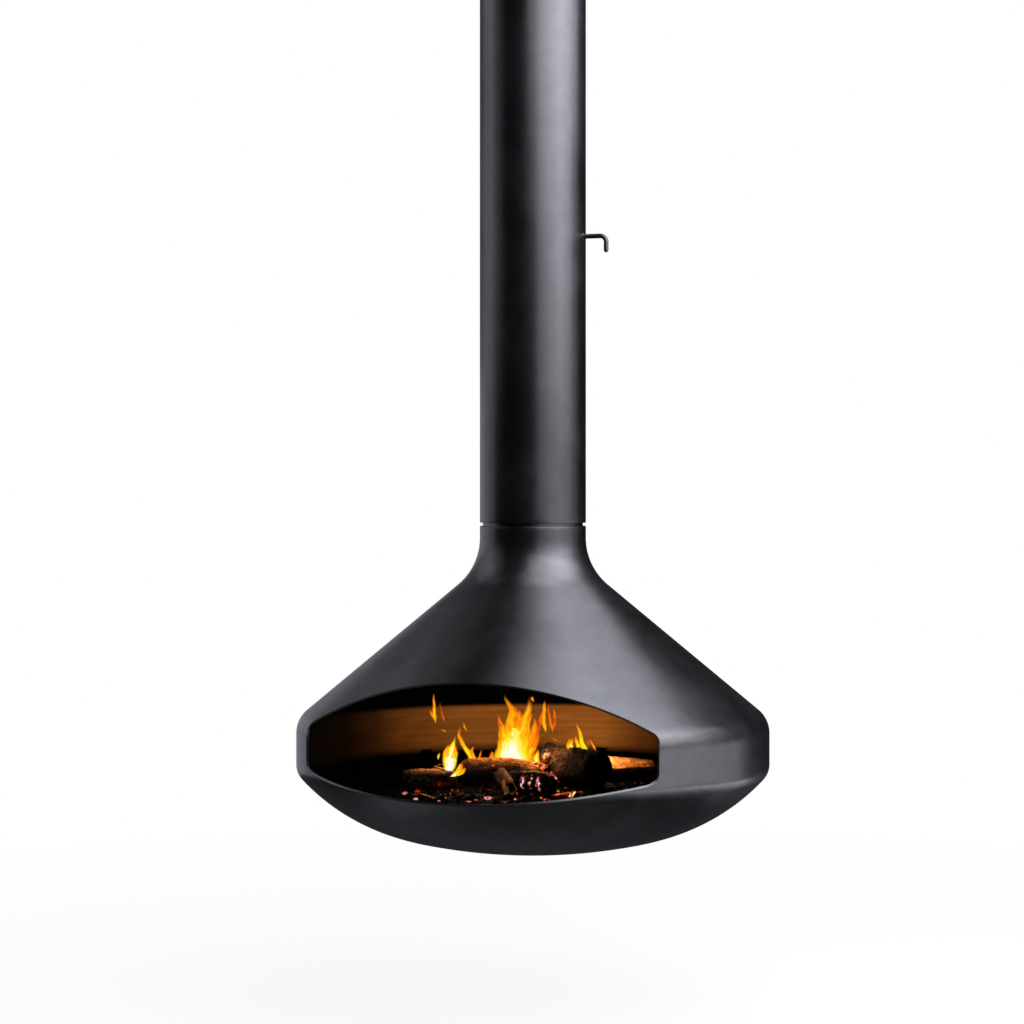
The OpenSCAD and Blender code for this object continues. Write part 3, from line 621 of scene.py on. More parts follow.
def flueProfile():
    f, line = flue, []
    wall, ease = f["outerR"] - f["innerR"], f["ease"]
    for step in range(f["easeSteps"] + 1):  # rounded outer edge at the foot
        turn = math.radians(90 * step / f["easeSteps"])
        line.append((-ease * (1 - math.sin(turn)), f["foot"] + ease * (1 - math.cos(turn))))
    line += [(0, z) for z in np.linspace(f["foot"] + 0.01, f["shoulder"] - 0.01, f["rows"])]
    spigot = f["spigotR"] - f["outerR"]
    line += [(0, f["shoulder"]), (spigot, f["shoulder"]), (spigot, f["spigotTop"]), (-wall, f["spigotTop"])]
    line += [(-wall, z) for z in np.linspace(f["shoulder"], f["foot"] + ease, f["innerRows"])]
    line.append((-wall, f["foot"]))
    mesh = bpy.data.meshes.new("flueProfile")
    count = len(line)
    mesh.from_pydata([(x, -y, 0) for x, y in line], [(i, (i + 1) % count) for i in range(count)], [])
    return mesh


flueTube = growPiece("flueTube", flueTree(), {"Finish": finishes["stovePaint"]}, flueProfile(), "flue",
                     ["flue_tube"])
outward = bmesh.new()
outward.from_mesh(flueTube.data)
bmesh.ops.recalc_face_normals(outward, faces=outward.faces)
for face in outward.faces:
    face.smooth = True
for edge in outward.edges:  # sharp round the hole, the shoulder and the spigot's end
    edge.smooth = edge.calc_face_angle(0) < flue["sharpAngle"]
outward.to_mesh(flueTube.data)
outward.free()
print("flue:", len(flueTube.data.polygons), "faces")


# The fire: charred logs, bed of embers, coals, splinters and flames
woodMarks = ("crack", "glow", "ash", "bark", "pale", "rose")


def charredWood(place):
    crack, glow, ash, bark, pale, rose = (place.mark(name) for name in woodMarks)
    fleck = place.noise(150, 4, 0.7, 0.5)
    grain = place.noise(60, 4, 0.7, 1.8)
    char = fleck.span(0.50, 0.78).mix((0.0012, 0.0010, 0.0009, 1), (0.0060, 0.0050, 0.0046, 1))
    wood = grain.span(0.30, 0.58).mix((0.060, 0.022, 0.006, 1), (0.50, 0.195, 0.050, 1))
    wood = fleck.span(0.56, 0.64).mix(wood, (0.010, 0.005, 0.0025, 1))
    colour = bark.clamp().mix(char, wood)
    colour = (pale * grain.span(0.28, 0.48)).clamp().mix(colour, (0.58, 0.32, 0.105, 1))
    colour = (ash * fleck.span(0.46, 0.66)).clamp().mix(colour, (0.060, 0.055, 0.050, 1))
    colour = (crack * 0.92).clamp().mix(colour, (0.0012, 0.0010, 0.0008, 1))
    heat = (glow * (0.35 + 1.25 * grain.span(0.38, 0.62)) * (1 - 0.8 * crack)).clamp()
    fire = heat.ramp((0.0, (0, 0, 0)), (0.22, (0.035, 0.001, 0.0)), (0.42, (0.42, 0.022, 0.003)),
                     (0.62, (0.93, 0.12, 0.012)), (0.82, (1.0, 0.34, 0.05)), (1.0, (1.0, 0.78, 0.36)))
    veil = (rose * (1.9 * fleck.span(0.40, 0.62) - 0.25)).clamp()
    fire = veil.span(0.05, 0.75).mix(fire, veil.ramp((0.0, (0.20, 0.01, 0.012)), (0.5, (0.80, 0.16, 0.19)),
                                                     (0.8, (0.95, 0.42, 0.47)), (1.0, (1.0, 0.86, 0.88))))
    return {"Base Color": colour, "Roughness": 0.78 + 0.18 * fleck, "Specular IOR Level": 0.12,
            "Emission Color": fire, "Emission Strength": 1.0,
            "Normal": bump(fleck + grain * 0.6, 0.7, 0.0018)}


def hotCoal(place):
    glow, pink, ash = (place.mark(name) for name in ("glow", "pink", "ash"))
    fleck = place.noise(210, 4, 0.7, 0.4)
    colour = fleck.span(0.48, 0.78).mix((0.0003, 0.0003, 0.0003, 1), (0.0018, 0.0018, 0.0021, 1))
    colour = (ash * fleck.span(0.40, 0.66)).clamp().mix(colour, (0.080, 0.085, 0.095, 1))
    heat = (glow * (0.12 + 1.25 * place.noise(170, 4, 0.7).span(0.40, 0.58))).clamp()
    orange = heat.ramp((0.0, (0, 0, 0)), (0.30, (0.06, 0.002, 0.0)), (0.55, (0.55, 0.035, 0.004)),
                       (0.80, (1.0, 0.20, 0.02)), (1.0, (1.0, 0.72, 0.22)))
    rose = heat.ramp((0.0, (0, 0, 0)), (0.30, (0.07, 0.002, 0.003)), (0.55, (0.50, 0.045, 0.055)),
                     (0.80, (0.82, 0.17, 0.18)), (1.0, (0.95, 0.36, 0.38)))
    return {"Base Color": colour, "Roughness": 0.75 + 0.2 * fleck, "Specular IOR Level": 0.15,
            "Emission Color": pink.clamp().mix(orange, rose), "Emission Strength": 1.0,
            "Normal": bump(fleck, 0.6, 0.0012)}


def flameGas(place):
    heat, body, flow = place.mark("hotness"), place.mark("body"), place.mark("flow", "Vector")
    strand = flow.noise(1.0, 3, 0.6, 0.7)
    hot = (heat + (strand - 0.5) * 1.25 * (1.25 - heat)).clamp()
    colour = hot.ramp((0.0, (0.25, 0.012, 0.0)), (0.14, (0.62, 0.060, 0.002)), (0.30, (0.93, 0.17, 0.003)),
                      (0.46, (1.0, 0.31, 0.004)), (0.62, (1.0, 0.58, 0.006)), (0.76, (1.0, 0.84, 0.015)),
                      (0.88, (1.0, 0.96, 0.22)), (0.97, (1.0, 0.99, 0.82)))
    alpha = ((body + (strand - 0.5) * 0.8).span(0.12, 0.95) * body.span(0.0, 0.35)).clamp()
    return {"Base Color": grey(0.0), "Roughness": 1.0, "Specular IOR Level": 0.0, "Emission Color": colour,
            "Emission Strength": 1.0, "Alpha": alpha}


finishes |= {fill.__name__: newMaterial(fill.__name__, fill) for fill in (charredWood, hotCoal, flameGas)}


# Marks on a log: kind, share of its length, degrees round it (0 faces the front, 90 is up), the reach of
# both, strength. Lumps: share, degrees, the reach of both, height. Flats are split faces: degrees, and how
# far from the middle as a share of the radius. Block is how far cracks lie apart, even takes cracks away
logs = {
    "log_left": {
        "from": (-0.277, -0.0554), "to": (-0.17, -0.008), "r": 0.0235, "seed": 3.1, "block": 0.0085,
        "bow": 0.0005,
        "flats": [(64, 0.9)],
        "lumps": [(0.55, 70, 0.12, 50, 0.0016), (1.0, 60, 0.2, 80, -0.003)],
        "marks": [("bark", 0.45, 104, 0.5, 34, 1.0), ("bark", 0.85, 84, 0.14, 26, 1.0),
                  ("ash", 0.25, 30, 0.26, 70, 1.0), ("pale", 0.62, 100, 0.16, 8, 0.5),
                  ("glow", 0.72, -20, 0.12, 14, 0.34), ("glow", 1.0, 95, 0.07, 60, 0.5)],
    },
    "log_middle": {
        "from": (-0.18, 0.0619), "to": (0.012, 0.0571), "r": 0.033, "seed": 7.7, "block": 0.0095,
        "bow": 0.0085, "taper": 0.1,
        "flats": [(100, 0.78), (38, 0.9)],
        "lumps": [(0.2, 40, 0.1, 30, 0.003), (0.62, 20, 0.1, 30, -0.004)],
        "marks": [("bark", 0.3, 78, 0.3, 32, 1.2), ("bark", 0.72, 80, 0.3, 32, 1.2),
                  ("bark", 0.88, 48, 0.12, 24, 1.2), ("pale", 0.34, 80, 0.1, 4, 0.8),
                  ("pale", 0.42, 68, 0.08, 4, 0.8), ("pale", 0.52, 76, 0.14, 5, 0.8),
                  ("pale", 0.66, 88, 0.3, 12, 1.1), ("pale", 0.84, 66, 0.14, 10, 0.9),
                  ("glow", 0.8, 90, 0.22, 6, 0.66), ("glow", 0.8, 72, 0.2, 5, 0.58),
                  ("glow", 0.9, 50, 0.1, 15, 0.78), ("glow", 0.97, 66, 0.05, 30, 0.7),
                  ("glow", 0.32, 14, 0.05, 4, 0.4), ("glow", 0.42, 22, 0.1, 3, 0.42)],
    },
    "log_front": {
        "from": (-0.0451, -0.0072), "to": (0.0499, -0.0303), "r": 0.026, "seed": 12.4, "block": 0.0085,
        "bow": 0.002,
        "flats": [(76, 0.88), (20, 0.93)],
        "lumps": [(0.1, 60, 0.2, 60, -0.003)],
        "marks": [("bark", 0.8, 84, 0.28, 12, 1.2), ("pale", 0.8, 82, 0.25, 7, 0.8),
                  ("glow", 0.42, 70, 0.24, 7, 0.62), ("glow", 0.86, 100, 0.2, 12, 0.62),
                  ("ash", 0.3, 20, 0.2, 60, 0.5), ("rose", 0.43, 2, 0.05, 34, 0.95),
                  ("rose", 0.63, 12, 0.034, 36, 0.85), ("rose", 0.82, 0, 0.045, 36, 0.95)],
    },
    "log_right": {
        "from": (-0.033, 0.1742), "to": (0.125, 0.058), "r": 0.042, "seed": 21.9, "block": 0.0115,
        "bow": 0.004, "taper": 0.04,
        "flats": [(56, 0.95)],
        "lumps": [(0.97, 138, 0.22, 46, 0.011), (0.08, 80, 0.16, 50, 0.012), (0.3, 20, 0.1, 40, -0.003),
                  (0.22, 50, 0.05, 30, -0.005), (0.6, 70, 0.2, 40, 0.003)],
        "marks": [("bark", 0.42, 46, 0.13, 44, 0.13), ("bark", 0.56, 20, 0.09, 60, 0.12),
                  ("glow", 0.17, 30, 0.06, 28, 0.72), ("glow", 0.24, 4, 0.06, 26, 0.62),
                  ("glow", 0.33, -22, 0.05, 20, 0.56), ("pale", 0.17, 26, 0.05, 24, 0.35),
                  ("glow", 0.45, -30, 0.05, 20, 0.4), ("rose", 0.44, -34, 0.022, 18, 0.9),
                  ("rose", 0.38, -20, 0.018, 14, 0.8)],
    },
    "log_rear": {
        "from": (0.084, 0.2043), "to": (0.1871, 0.2671), "r": 0.034, "seed": 30.2, "block": 0.013,
        "even": 0.75, "taper": 0.46,
        "flats": [(62, 0.52), (-8, 0.86)],
        "marks": [("bark", 0.4, 20, 0.8, 30, 0.6), ("bark", 0.4, 64, 0.8, 60, 1.4),
                  ("pale", 0.1, 76, 0.26, 40, 0.9), ("pale", 0.35, 90, 0.5, 14, 0.5),
                  ("glow", 0.5, 34, 0.5, 4, 0.4), ("glow", 0.84, 44, 0.08, 20, 0.46)],
    },
}
# Kindling and broken wood: its ends are x and y in the picture's frame and how far behind the axis
kindling = {
    "splitChunk": {
        "ends": [(501, 774, 0.012), (510.5, 787.5, -0.046)], "r": 0.018, "seed": 41.3, "block": 0.009,
        "flats": [(150, 0.7), (40, 0.85)],
        "marks": [("bark", 0.5, 120, 0.6, 60, 0.5), ("pale", 1.0, 200, 0.14, 50, 1.2),
                  ("pale", 0.9, 120, 0.16, 30, 0.5), ("ash", 0.5, 60, 0.5, 90, 0.7)],
    },
    "paleChip": {
        "ends": [(503.2, 781, -0.046), (507.6, 794.5, -0.066)], "r": 0.0062, "seed": 43.0,
        "flats": [(20, 0.5), (100, 0.7)],
        "marks": [("bark", 0.5, 0, 2, 400, 1.4), ("pale", 0.6, 0, 0.6, 300, 1.2),
                  ("ash", 0.1, 0, 0.3, 300, 0.8)],
    },
    "splinterLeft": {
        "ends": [(419.5, 793.5, -0.035), (434.5, 798.5, -0.055)], "r": 0.0034, "seed": 44.0,
        "flats": [(70, 0.5)],
        "marks": [("bark", 0.5, 80, 2, 80, 1.2), ("pale", 0.6, 70, 0.3, 60, 0.9)],
    },
    "splinterBack": {
        "ends": [(434.5, 766.6, 0.06), (452, 771.6, 0.024)], "r": 0.003, "seed": 47.5,
        "flats": [(80, 0.5)],
        "marks": [("bark", 0.5, 80, 2, 80, 1.2), ("pale", 0.7, 70, 0.3, 60, 0.9)],
    },
    "chipLeft": {
        "ends": [(411.5, 794.2, -0.03), (417.5, 795.2, -0.034)], "r": 0.003, "seed": 51.0,
        "flats": [(80, 0.5)],
        "marks": [("bark", 0.5, 80, 2, 80, 0.9)],
    },
    "glowingStick": {
        "ends": [(552, 796.5, -0.075), (573, 793.5, -0.05)], "r": 0.006, "seed": 55.0, "block": 0.008,
        "flats": [(70, 0.6)],
        "marks": [("glow", 0.45, 80, 0.6, 90, 0.74), ("pale", 0.5, 70, 0.5, 60, 0.6),
                  ("glow", 0.92, 60, 0.12, 90, 0.5)],
    },
    "hotTip": {
        "ends": [(569.5, 797.6, -0.06), (574.5, 791.0, -0.056)], "r": 0.0046, "seed": 57.0,
        "flats": [(40, 0.6)],
        "marks": [("glow", 0.5, 80, 2, 200, 1.1)],
    },
    "glowingBark": {
        "ends": [(577, 791.8, -0.03), (589, 795.2, -0.045)], "r": 0.004, "seed": 59.0, "block": 0.01,
        "flats": [(70, 0.5)],
        "marks": [("glow", 0.5, 60, 0.6, 90, 0.6)],
    },
    "charredStub": {
        "ends": [(545, 756, 0.15), (552.5, 762, 0.105)], "r": 0.02, "seed": 63.0, "block": 0.009,
        "flats": [(100, 0.8)],
        "marks": [("glow", 0.8, 40, 0.3, 50, 0.62), ("rose", 0.9, 60, 0.1, 20, 0.6),
                  ("pale", 0.8, 50, 0.2, 30, 0.5)],
    },
}
woodShape = {
    "aroundStep": 0.0014, "alongStep": 0.0012, "leastAround": 14, "leastAlong": 10, "lift": 0.0003,
    "usualR": 0.030, "smallR": 0.01, "capSteps": 12, "smallCapSteps": 4, "smallBlock": 0.02,
    "uneven": 0.17, "coarse": 0.0018, "fine": 0.0011, "crackDeep": 0.0026, "splitDeep": 0.0034,
    "endWear": 0.0045, "wearReach": 0.007, "endRough": 0.0075, "slantReach": 0.02, "endGrain": 0.0012,
    "endDome": 0.0015, "rayDeep": 0.0022, "rayWide": 0.09,
}


def easeStep(value, low, high):
    share = np.clip((value - low) / (high - low), 0, 1)
    return share * share * (3 - 2 * share)


def logSurface(log, foot, head):
    # Rows of points round the log and over its two ends, with the marks that its finish reads
    w, r0, block0 = woodShape, log["r"], log.get("block", woodShape["smallBlock"])
    taper, bow, cracked = log.get("taper", 0), log.get("bow", 0), 1 - log.get("even", 0)
    small = min(1, r0 / w["usualR"])  # small sticks are worn in proportion
    length = np.linalg.norm(head - foot)
    along = (head - foot) / length
    front = np.cross(along, np.array([0, 0, 1.0]))
    front /= np.linalg.norm(front)
    up = np.cross(front, along)
    count = max(w["leastAround"], int(2 * math.pi * r0 / w["aroundStep"]))
    turns = np.arange(count) * 2 * math.pi / count
    steps = max(w["leastAlong"], int(length / w["alongStep"]))
    caps = w["capSteps"] if r0 > w["smallR"] else w["smallCapSteps"]
    rows = [(0.0, k / caps) for k in range(1, caps)]
    rows += [(k / steps, 1.0) for k in range(steps + 1)] + [(1.0, 1 - k / caps) for k in range(1, caps)]
    points, marks = [], {name: [] for name in woodMarks}

    def rough(x, y, z):
        return noise.noise(Vector((x + log["seed"], y + log["seed"], z + log["seed"])))

    def addPoint(share, inward, turn):
        side, rise, far = math.cos(turn), math.sin(turn), share * length
        values = dict.fromkeys(marks, 0.0)
        degrees = math.degrees(turn)
        degrees = degrees - 360 if degrees > 270 else degrees
        waver = 0.5 * rough(side * 2 + 5, rise * 2, far * 60)
        for kind, middle, at, reach, wide, strength in log["marks"]:
            apart = abs(degrees - at)
            apart = min(apart, 360 - apart) + waver * min(20, wide)
            fade = math.exp(-((share - middle + 0.06 * waver) / reach) ** 2 - (apart / wide) ** 2)
            values[kind] += strength * fade * (inward > 0.8)
        barky = min(1.0, values["bark"])
        r = r0 * (0.95 + w["uneven"] * rough(side * 1.1, rise * 1.1, far * 14)) * (1 - taper * share ** 1.3)
        for middle, at, reach, wide, high in log.get("lumps", []):
            apart = min(abs(degrees - at), 360 - abs(degrees - at))
            r += high * math.exp(-((share - middle) / reach) ** 2 - (apart / wide) ** 2)
        for flatTurn, flat in log["flats"]:
            facing = math.cos(turn - math.radians(flatTurn))
            if facing > 0.02:
                r = min(r, flat * r0 * (1 - taper * share) / facing)
        near = noise.voronoi(Vector((side * r0 / block0 * 0.8, rise * r0 / block0 * 0.8,
                                     far / block0 + log["seed"])))[0]
        block = 1 - float(easeStep(near[1] - near[0], 0.02, 0.22))
        split = 1 - float(easeStep(abs(rough(side * r0 * 160, rise * r0 * 160, far * 12)), 0.0, 0.15))
        block, split = block * cracked, split * cracked
        r += small * (w["coarse"] * rough(side * 5, rise * 5, far * 40)
                      + w["fine"] * rough(side * 17, rise * 17, far * 150))
        r -= small * (w["crackDeep"] * block * (1 - 0.8 * barky)
                      + w["splitDeep"] * split * (0.30 + 0.70 * barky))
        end = min(share, 1 - share) * length
        worn = math.exp(-(end / w["wearReach"]) ** 2)
        r -= small * w["endWear"] * (0.7 + 0.9 * rough(side * 2, rise * 2, share * 5)) * worn
        outside = -1 if share < 0.5 else 1
        slant = small * w["endRough"] * rough(side * inward * 1.3, rise * inward * 1.3, outside * 4.0)
        push = outside * slant * math.exp(-(end / w["slantReach"]) ** 2)
        if inward < 1:  # on an end
            ray = abs(rough(side * 2.6, rise * 2.6, outside * 9.0))
            push += small * outside * (w["endGrain"] * rough(side * inward * 9, rise * inward * 9, 3)
                                       + w["endDome"] * (1 - inward))
            push -= small * outside * w["rayDeep"] * (ray < w["rayWide"]) * inward
        lift = bow * math.sin(math.pi * share)
        points.append(foot + along * (far + push) + up * lift + (front * side + up * rise) * r * inward)
        crack = max(block * (1 - 0.8 * barky), split * (0.25 + 0.75 * barky))
        values["crack"] = crack * (1 if inward == 1 else 0.3)
        for kind, value in values.items():
            marks[kind].append(value)

    for share, inward in rows:
        for turn in turns:
            addPoint(share, inward, turn)
    for share in (0.0, 1.0):
        addPoint(share, 0.0, 0.0)
    last = len(rows) - 1
    faces = tube(0, len(rows), count)
    start, end = len(points) - 2, len(points) - 1
    faces += [(start, (i + 1) % count, i) for i in range(count)]
    faces += [(end, last * count + i, last * count + (i + 1) % count) for i in range(count)]
    return points, faces, marks


def addWood(name, log, foot, head, replaced=()):
    points, faces, marks = logSurface(log, np.array(foot), np.array(head))
    piece = addPiece(name, points, faces, [finishes["charredWood"]], "fire_tray", replaced)
    addFloats(piece, **marks)
    print(name, len(faces), "faces")


for node, log in logs.items():
    z = grooveZ + emberTop + woodShape["lift"] + log["r"]
    addWood(node.replace("log_", "burningLog_"), log, (*log["from"], z), (*log["to"], z), [node])
for name, stick in kindling.items():
    foot, head = (inView(*end) for end in stick["ends"])
    addWood(name, stick, foot, head)


heap = {  # the bed of embers: mounds that run together under a flat top, each x, y and radius of its foot
    "plateZ": -0.591, "clear": 0.0002, "steps": 60, "turns": 180, "centre": (-0.005, 0.05), "seed": 4.2,
    "coarse": (55, 0.0030), "fine": (190, 0.0016), "sunk": 0.0028, "rim": 0.006, "farthest": 0.42,
    "warm": (34, 1.6, 0.62), "coldRim": 2,
    "mounds": [(-0.010, 0.045, 0.150), (-0.190, -0.030, 0.085), (0.040, 0.105, 0.120),
               (-0.060, -0.045, 0.095), (0.120, 0.222, 0.085)],
}


def heapHeight(x, y):
    full = emberTop - heap["plateZ"]
    high = max(min(full, r - math.hypot(x - mx, y - my)) for mx, my, r in heap["mounds"])
    if high <= 0:
        return 0.0
    (often, deep), (fineOften, fineDeep) = heap["coarse"], heap["fine"]
    rough = (noise.noise(Vector((x * often, y * often, heap["seed"]))) * deep
             + noise.noise(Vector((x * fineOften, y * fineOften, 1))) * fineDeep)
    return max(heap["clear"], high - heap["sunk"] + rough * min(1, high / heap["rim"]))


def inHeap(x, y):
    return any(math.hypot(x - mx, y - my) < r for mx, my, r in heap["mounds"])


def makeHeap():
    # A grid of turns round the centre, out to where the farthest mound ends
    points, faces, glow, reach = [], [], [], []
    cx, cy = heap["centre"]
    for k in range(heap["turns"]):
        turn = 2 * math.pi * k / heap["turns"]
        reach.append(max(d for d in np.arange(0.01, heap["farthest"], 0.002)
                         if inHeap(cx + d * math.cos(turn), cy + d * math.sin(turn))))
    base = grooveZ + heap["plateZ"] + heap["clear"]
    often, strong, less = heap["warm"]
    for row in range(1, heap["steps"] + 1):
        for k in range(heap["turns"]):
            turn, d = 2 * math.pi * k / heap["turns"], reach[k] * row / heap["steps"]
            x, y = cx + d * math.cos(turn), cy + d * math.sin(turn)
            points.append((x, y, base + (heapHeight(x, y) if row < heap["steps"] else 0.0)))
            warmth = max(0.0, noise.noise(Vector((x * often, y * often, 8.5))) * strong - less)
            glow.append(warmth * (row < heap["steps"] - heap["coldRim"]))
    count = heap["turns"]
    top = len(points)
    points += [(cx, cy, base + heapHeight(cx, cy)), (cx, cy, base)]
    glow += [0.0, 0.0]
    for row in range(heap["steps"] - 1):
        for k in range(count):
            a, b = row * count + k, row * count + (k + 1) % count
            faces.append((a, a + count, b + count, b))
    rim = (heap["steps"] - 1) * count
    faces += [(top, k, (k + 1) % count) for k in range(count)]
    faces += [(top + 1, rim + (k + 1) % count, rim + k) for k in range(count)]
    return points, faces, glow


points, faces, glow = makeHeap()
emberHeap = addPiece("emberHeap", points, faces, [finishes["hotCoal"]], "fire_tray",
                     ["ember_bed"])
cold = np.zeros(len(points))
addFloats(emberHeap, glow=glow, pink=cold, ash=cold)
print("ember heap:", len(faces), "faces")


coals = {
    "count": 560, "small": 0.0032, "large": 0.0120, "seed": 11, "glowShare": 0.035, "kinds": 5, "rough": 0.42,
    "inset": 0.004, "sunk": 0.15, "seat": 0.45, "nearest": -0.20, "farthest": 0.16, "step": 0.002,
    # chosen ones: place in the frame, half size in m, glow, pink, ash, yaw
    "chosen": [
        (405, 793, 0.0072, 0.88, 1, 0, 0), (416, 799, 0.0075, 0.92, 1, 0, 30),
        (410, 795, 0.003, 0.4, 1, 0, 0), (438, 789, 0.0092, 0.95, 1, 0, -20),
        (432, 786, 0.004, 0.5, 1, 0, 0), (446, 798, 0.0036, 0.9, 1, 0, 0), (441, 795, 0.006, 0.4, 1, 0, 0),
        (439, 801, 0.004, 0.75, 1, 0, 0), (461, 797, 0.012, 0, 0, 0.16, 0), (456, 794, 0.009, 0, 0, 0.1, 0),
        (488, 798, 0.01, 0.92, 1, 0, 10), (468, 802, 0.0078, 0.62, 1, 0, 0),
        (484, 802, 0.011, 0, 0, 0.85, -20), (491, 803, 0.009, 0, 0, 0.8, 0),
        (476, 800, 0.0035, 0.5, 1, 0, 0), (498, 796, 0.002, 0.9, 0, 0, 0),
        (515, 799, 0.0042, 0.85, 1, 0, 50), (505, 802, 0.0038, 0.7, 1, 0, 0),
        (523, 797, 0.01, 0, 0, 0.12, 0), (531, 796, 0.004, 0.6, 1, 0, 0), (547, 800, 0.0075, 0.66, 0, 0, 0),
        (541, 798, 0.005, 0.6, 0, 0, 0), (563, 793, 0.0085, 0.8, 0, 0, 0), (558, 791, 0.005, 0.82, 0, 0, 0),
        (557, 776, 0.006, 0.62, 0, 0, 0), (563, 782, 0.005, 0.55, 0, 0, 0),
        (560, 768, 0.0055, 0.8, 0, 0, 0), (565, 788, 0.0055, 0.5, 0, 0, 0), (596, 797, 0.004, 0.4, 0, 0, 0),
        (452, 801, 0.006, 0, 0, 0.1, 0),
    ],
}


def coalSpots():
    dice = random.Random(coals["seed"])
    rows = []
    while len(rows) < coals["count"]:
        mx, my, r = dice.choice(heap["mounds"])
        d, turn = (r - coals["inset"]) * math.sqrt(dice.random()), dice.uniform(0, 2 * math.pi)
        x, y = mx + d * math.cos(turn), my + d * math.sin(turn)
        half = coals["small"] + (coals["large"] - coals["small"]) * dice.random() ** 1.8
        glow = dice.uniform(0.30, 0.55) if dice.random() < coals["glowShare"] else 0.0
        z = grooveZ + heap["plateZ"] + heapHeight(x, y) + coals["sunk"] * half
        stretch = [half * dice.uniform(low, high) for low, high in ((0.75, 1.25), (0.6, 1.0), (0.40, 0.7))]
        turned = [dice.uniform(0, 6.28) for _ in range(3)]
        rows.append(((x, y, z), glow, float(dice.random() < 0.4), dice.random() ** 4 * 0.10, turned, stretch))
    for x, y, half, glow, pink, ash, yaw in coals["chosen"]:
        for back in np.arange(coals["nearest"], coals["farthest"], coals["step"]):
            spot = inView(x, y, back)
            ground = grooveZ + heap["plateZ"] + heapHeight(spot[0], spot[1])
            if spot[2] < ground + coals["seat"] * half:  # here the line of sight meets the heap
                turned = [dice.uniform(-0.2, 0.2), dice.uniform(-0.2, 0.2),
                          math.radians(studio["cameraAzimuth"] + yaw)]
                stretch = [0.85 * half, half * dice.uniform(0.5, 0.75), half * (0.34 if glow else 0.55)]
                rows.append((tuple(spot), glow, pink, ash, turned, stretch))
                break
    return rows


def coalTree():
    # Rough lumps, one kind picked for each point, turned and stretched by the point's own values
    tree, given = startTree("coalTree", {
        "Points": ("Geometry", None), "Roughness": ("Float", coals["rough"]), "Seed": ("Int", 5),
        "Finish": ("Material", None)})
    kinds = given["Points"].node("GeometryNodeJoinGeometry")
    joined = kinds.socket.node
    for kind in range(coals["kinds"]):
        ball = kinds.node("GeometryNodeMeshIcoSphere", {}, {"Radius": 1.0, "Subdivisions": 2})
        place = kinds.node("GeometryNodeInputPosition")
        shifted = place.node("ShaderNodeVectorMath", {"operation": "ADD"},
                             {0: place, 1: (kind * 7.3, kind * 3.1, 2.0)})
        lump = shifted.node("ShaderNodeTexNoise", {}, {"Vector": shifted, "Scale": 0.9, "Detail": 2.0},
                            "Color")
        centred = lump.node("ShaderNodeVectorMath", {"operation": "SUBTRACT"}, {0: lump, 1: (0.5, 0.5, 0.5)})
        offset = centred.node("ShaderNodeVectorMath", {"operation": "SCALE"},
                              {0: centred, "Scale": given["Roughness"] * 4})
        shaped = offset.node("GeometryNodeSetPosition", {}, {"Geometry": ball, "Offset": offset})
        one = shaped.node("GeometryNodeGeometryToInstance", {}, {"Geometry": shaped})
        tree.links.new(one.socket, joined.inputs[0])

    def own(name, kind):
        return kinds.node("GeometryNodeInputNamedAttribute", {"data_type": kind}, {"Name": name})

    pick = kinds.node("FunctionNodeRandomValue", {"data_type": "INT"},
                      {4: 0, 5: coals["kinds"] - 1, "Seed": given["Seed"]}, out=2)
    spread = kinds.node("GeometryNodeInstanceOnPoints", {}, {
        "Points": given["Points"], "Instance": kinds, "Pick Instance": True, "Instance Index": pick,
        "Rotation": own("turn", "FLOAT_VECTOR"), "Scale": own("stretch", "FLOAT_VECTOR")})
    endTree(tree, spread, given["Finish"])
    return tree


def makeCoals():  # one point for each coal, with the values that the tree and the finish read
    rows = coalSpots()
    mesh = bpy.data.meshes.new("coalSpots")
    mesh.from_pydata([row[0] for row in rows], [], [])
    for i, name in ((1, "glow"), (2, "pink"), (3, "ash")):
        layer = mesh.attributes.new(name, "FLOAT", "POINT")
        layer.data.foreach_set("value", [row[i] for row in rows])
    for i, name in ((4, "turn"), (5, "stretch")):
        layer = mesh.attributes.new(name, "FLOAT_VECTOR", "POINT")
        layer.data.foreach_set("vector", np.array([row[i] for row in rows], np.float32).ravel())
    return mesh


coalPile = growPiece("coalPile", coalTree(), {"Finish": finishes["hotCoal"]}, makeCoals(), "fire_tray")
print("coals:", len(coalPile.data.polygons), "faces")


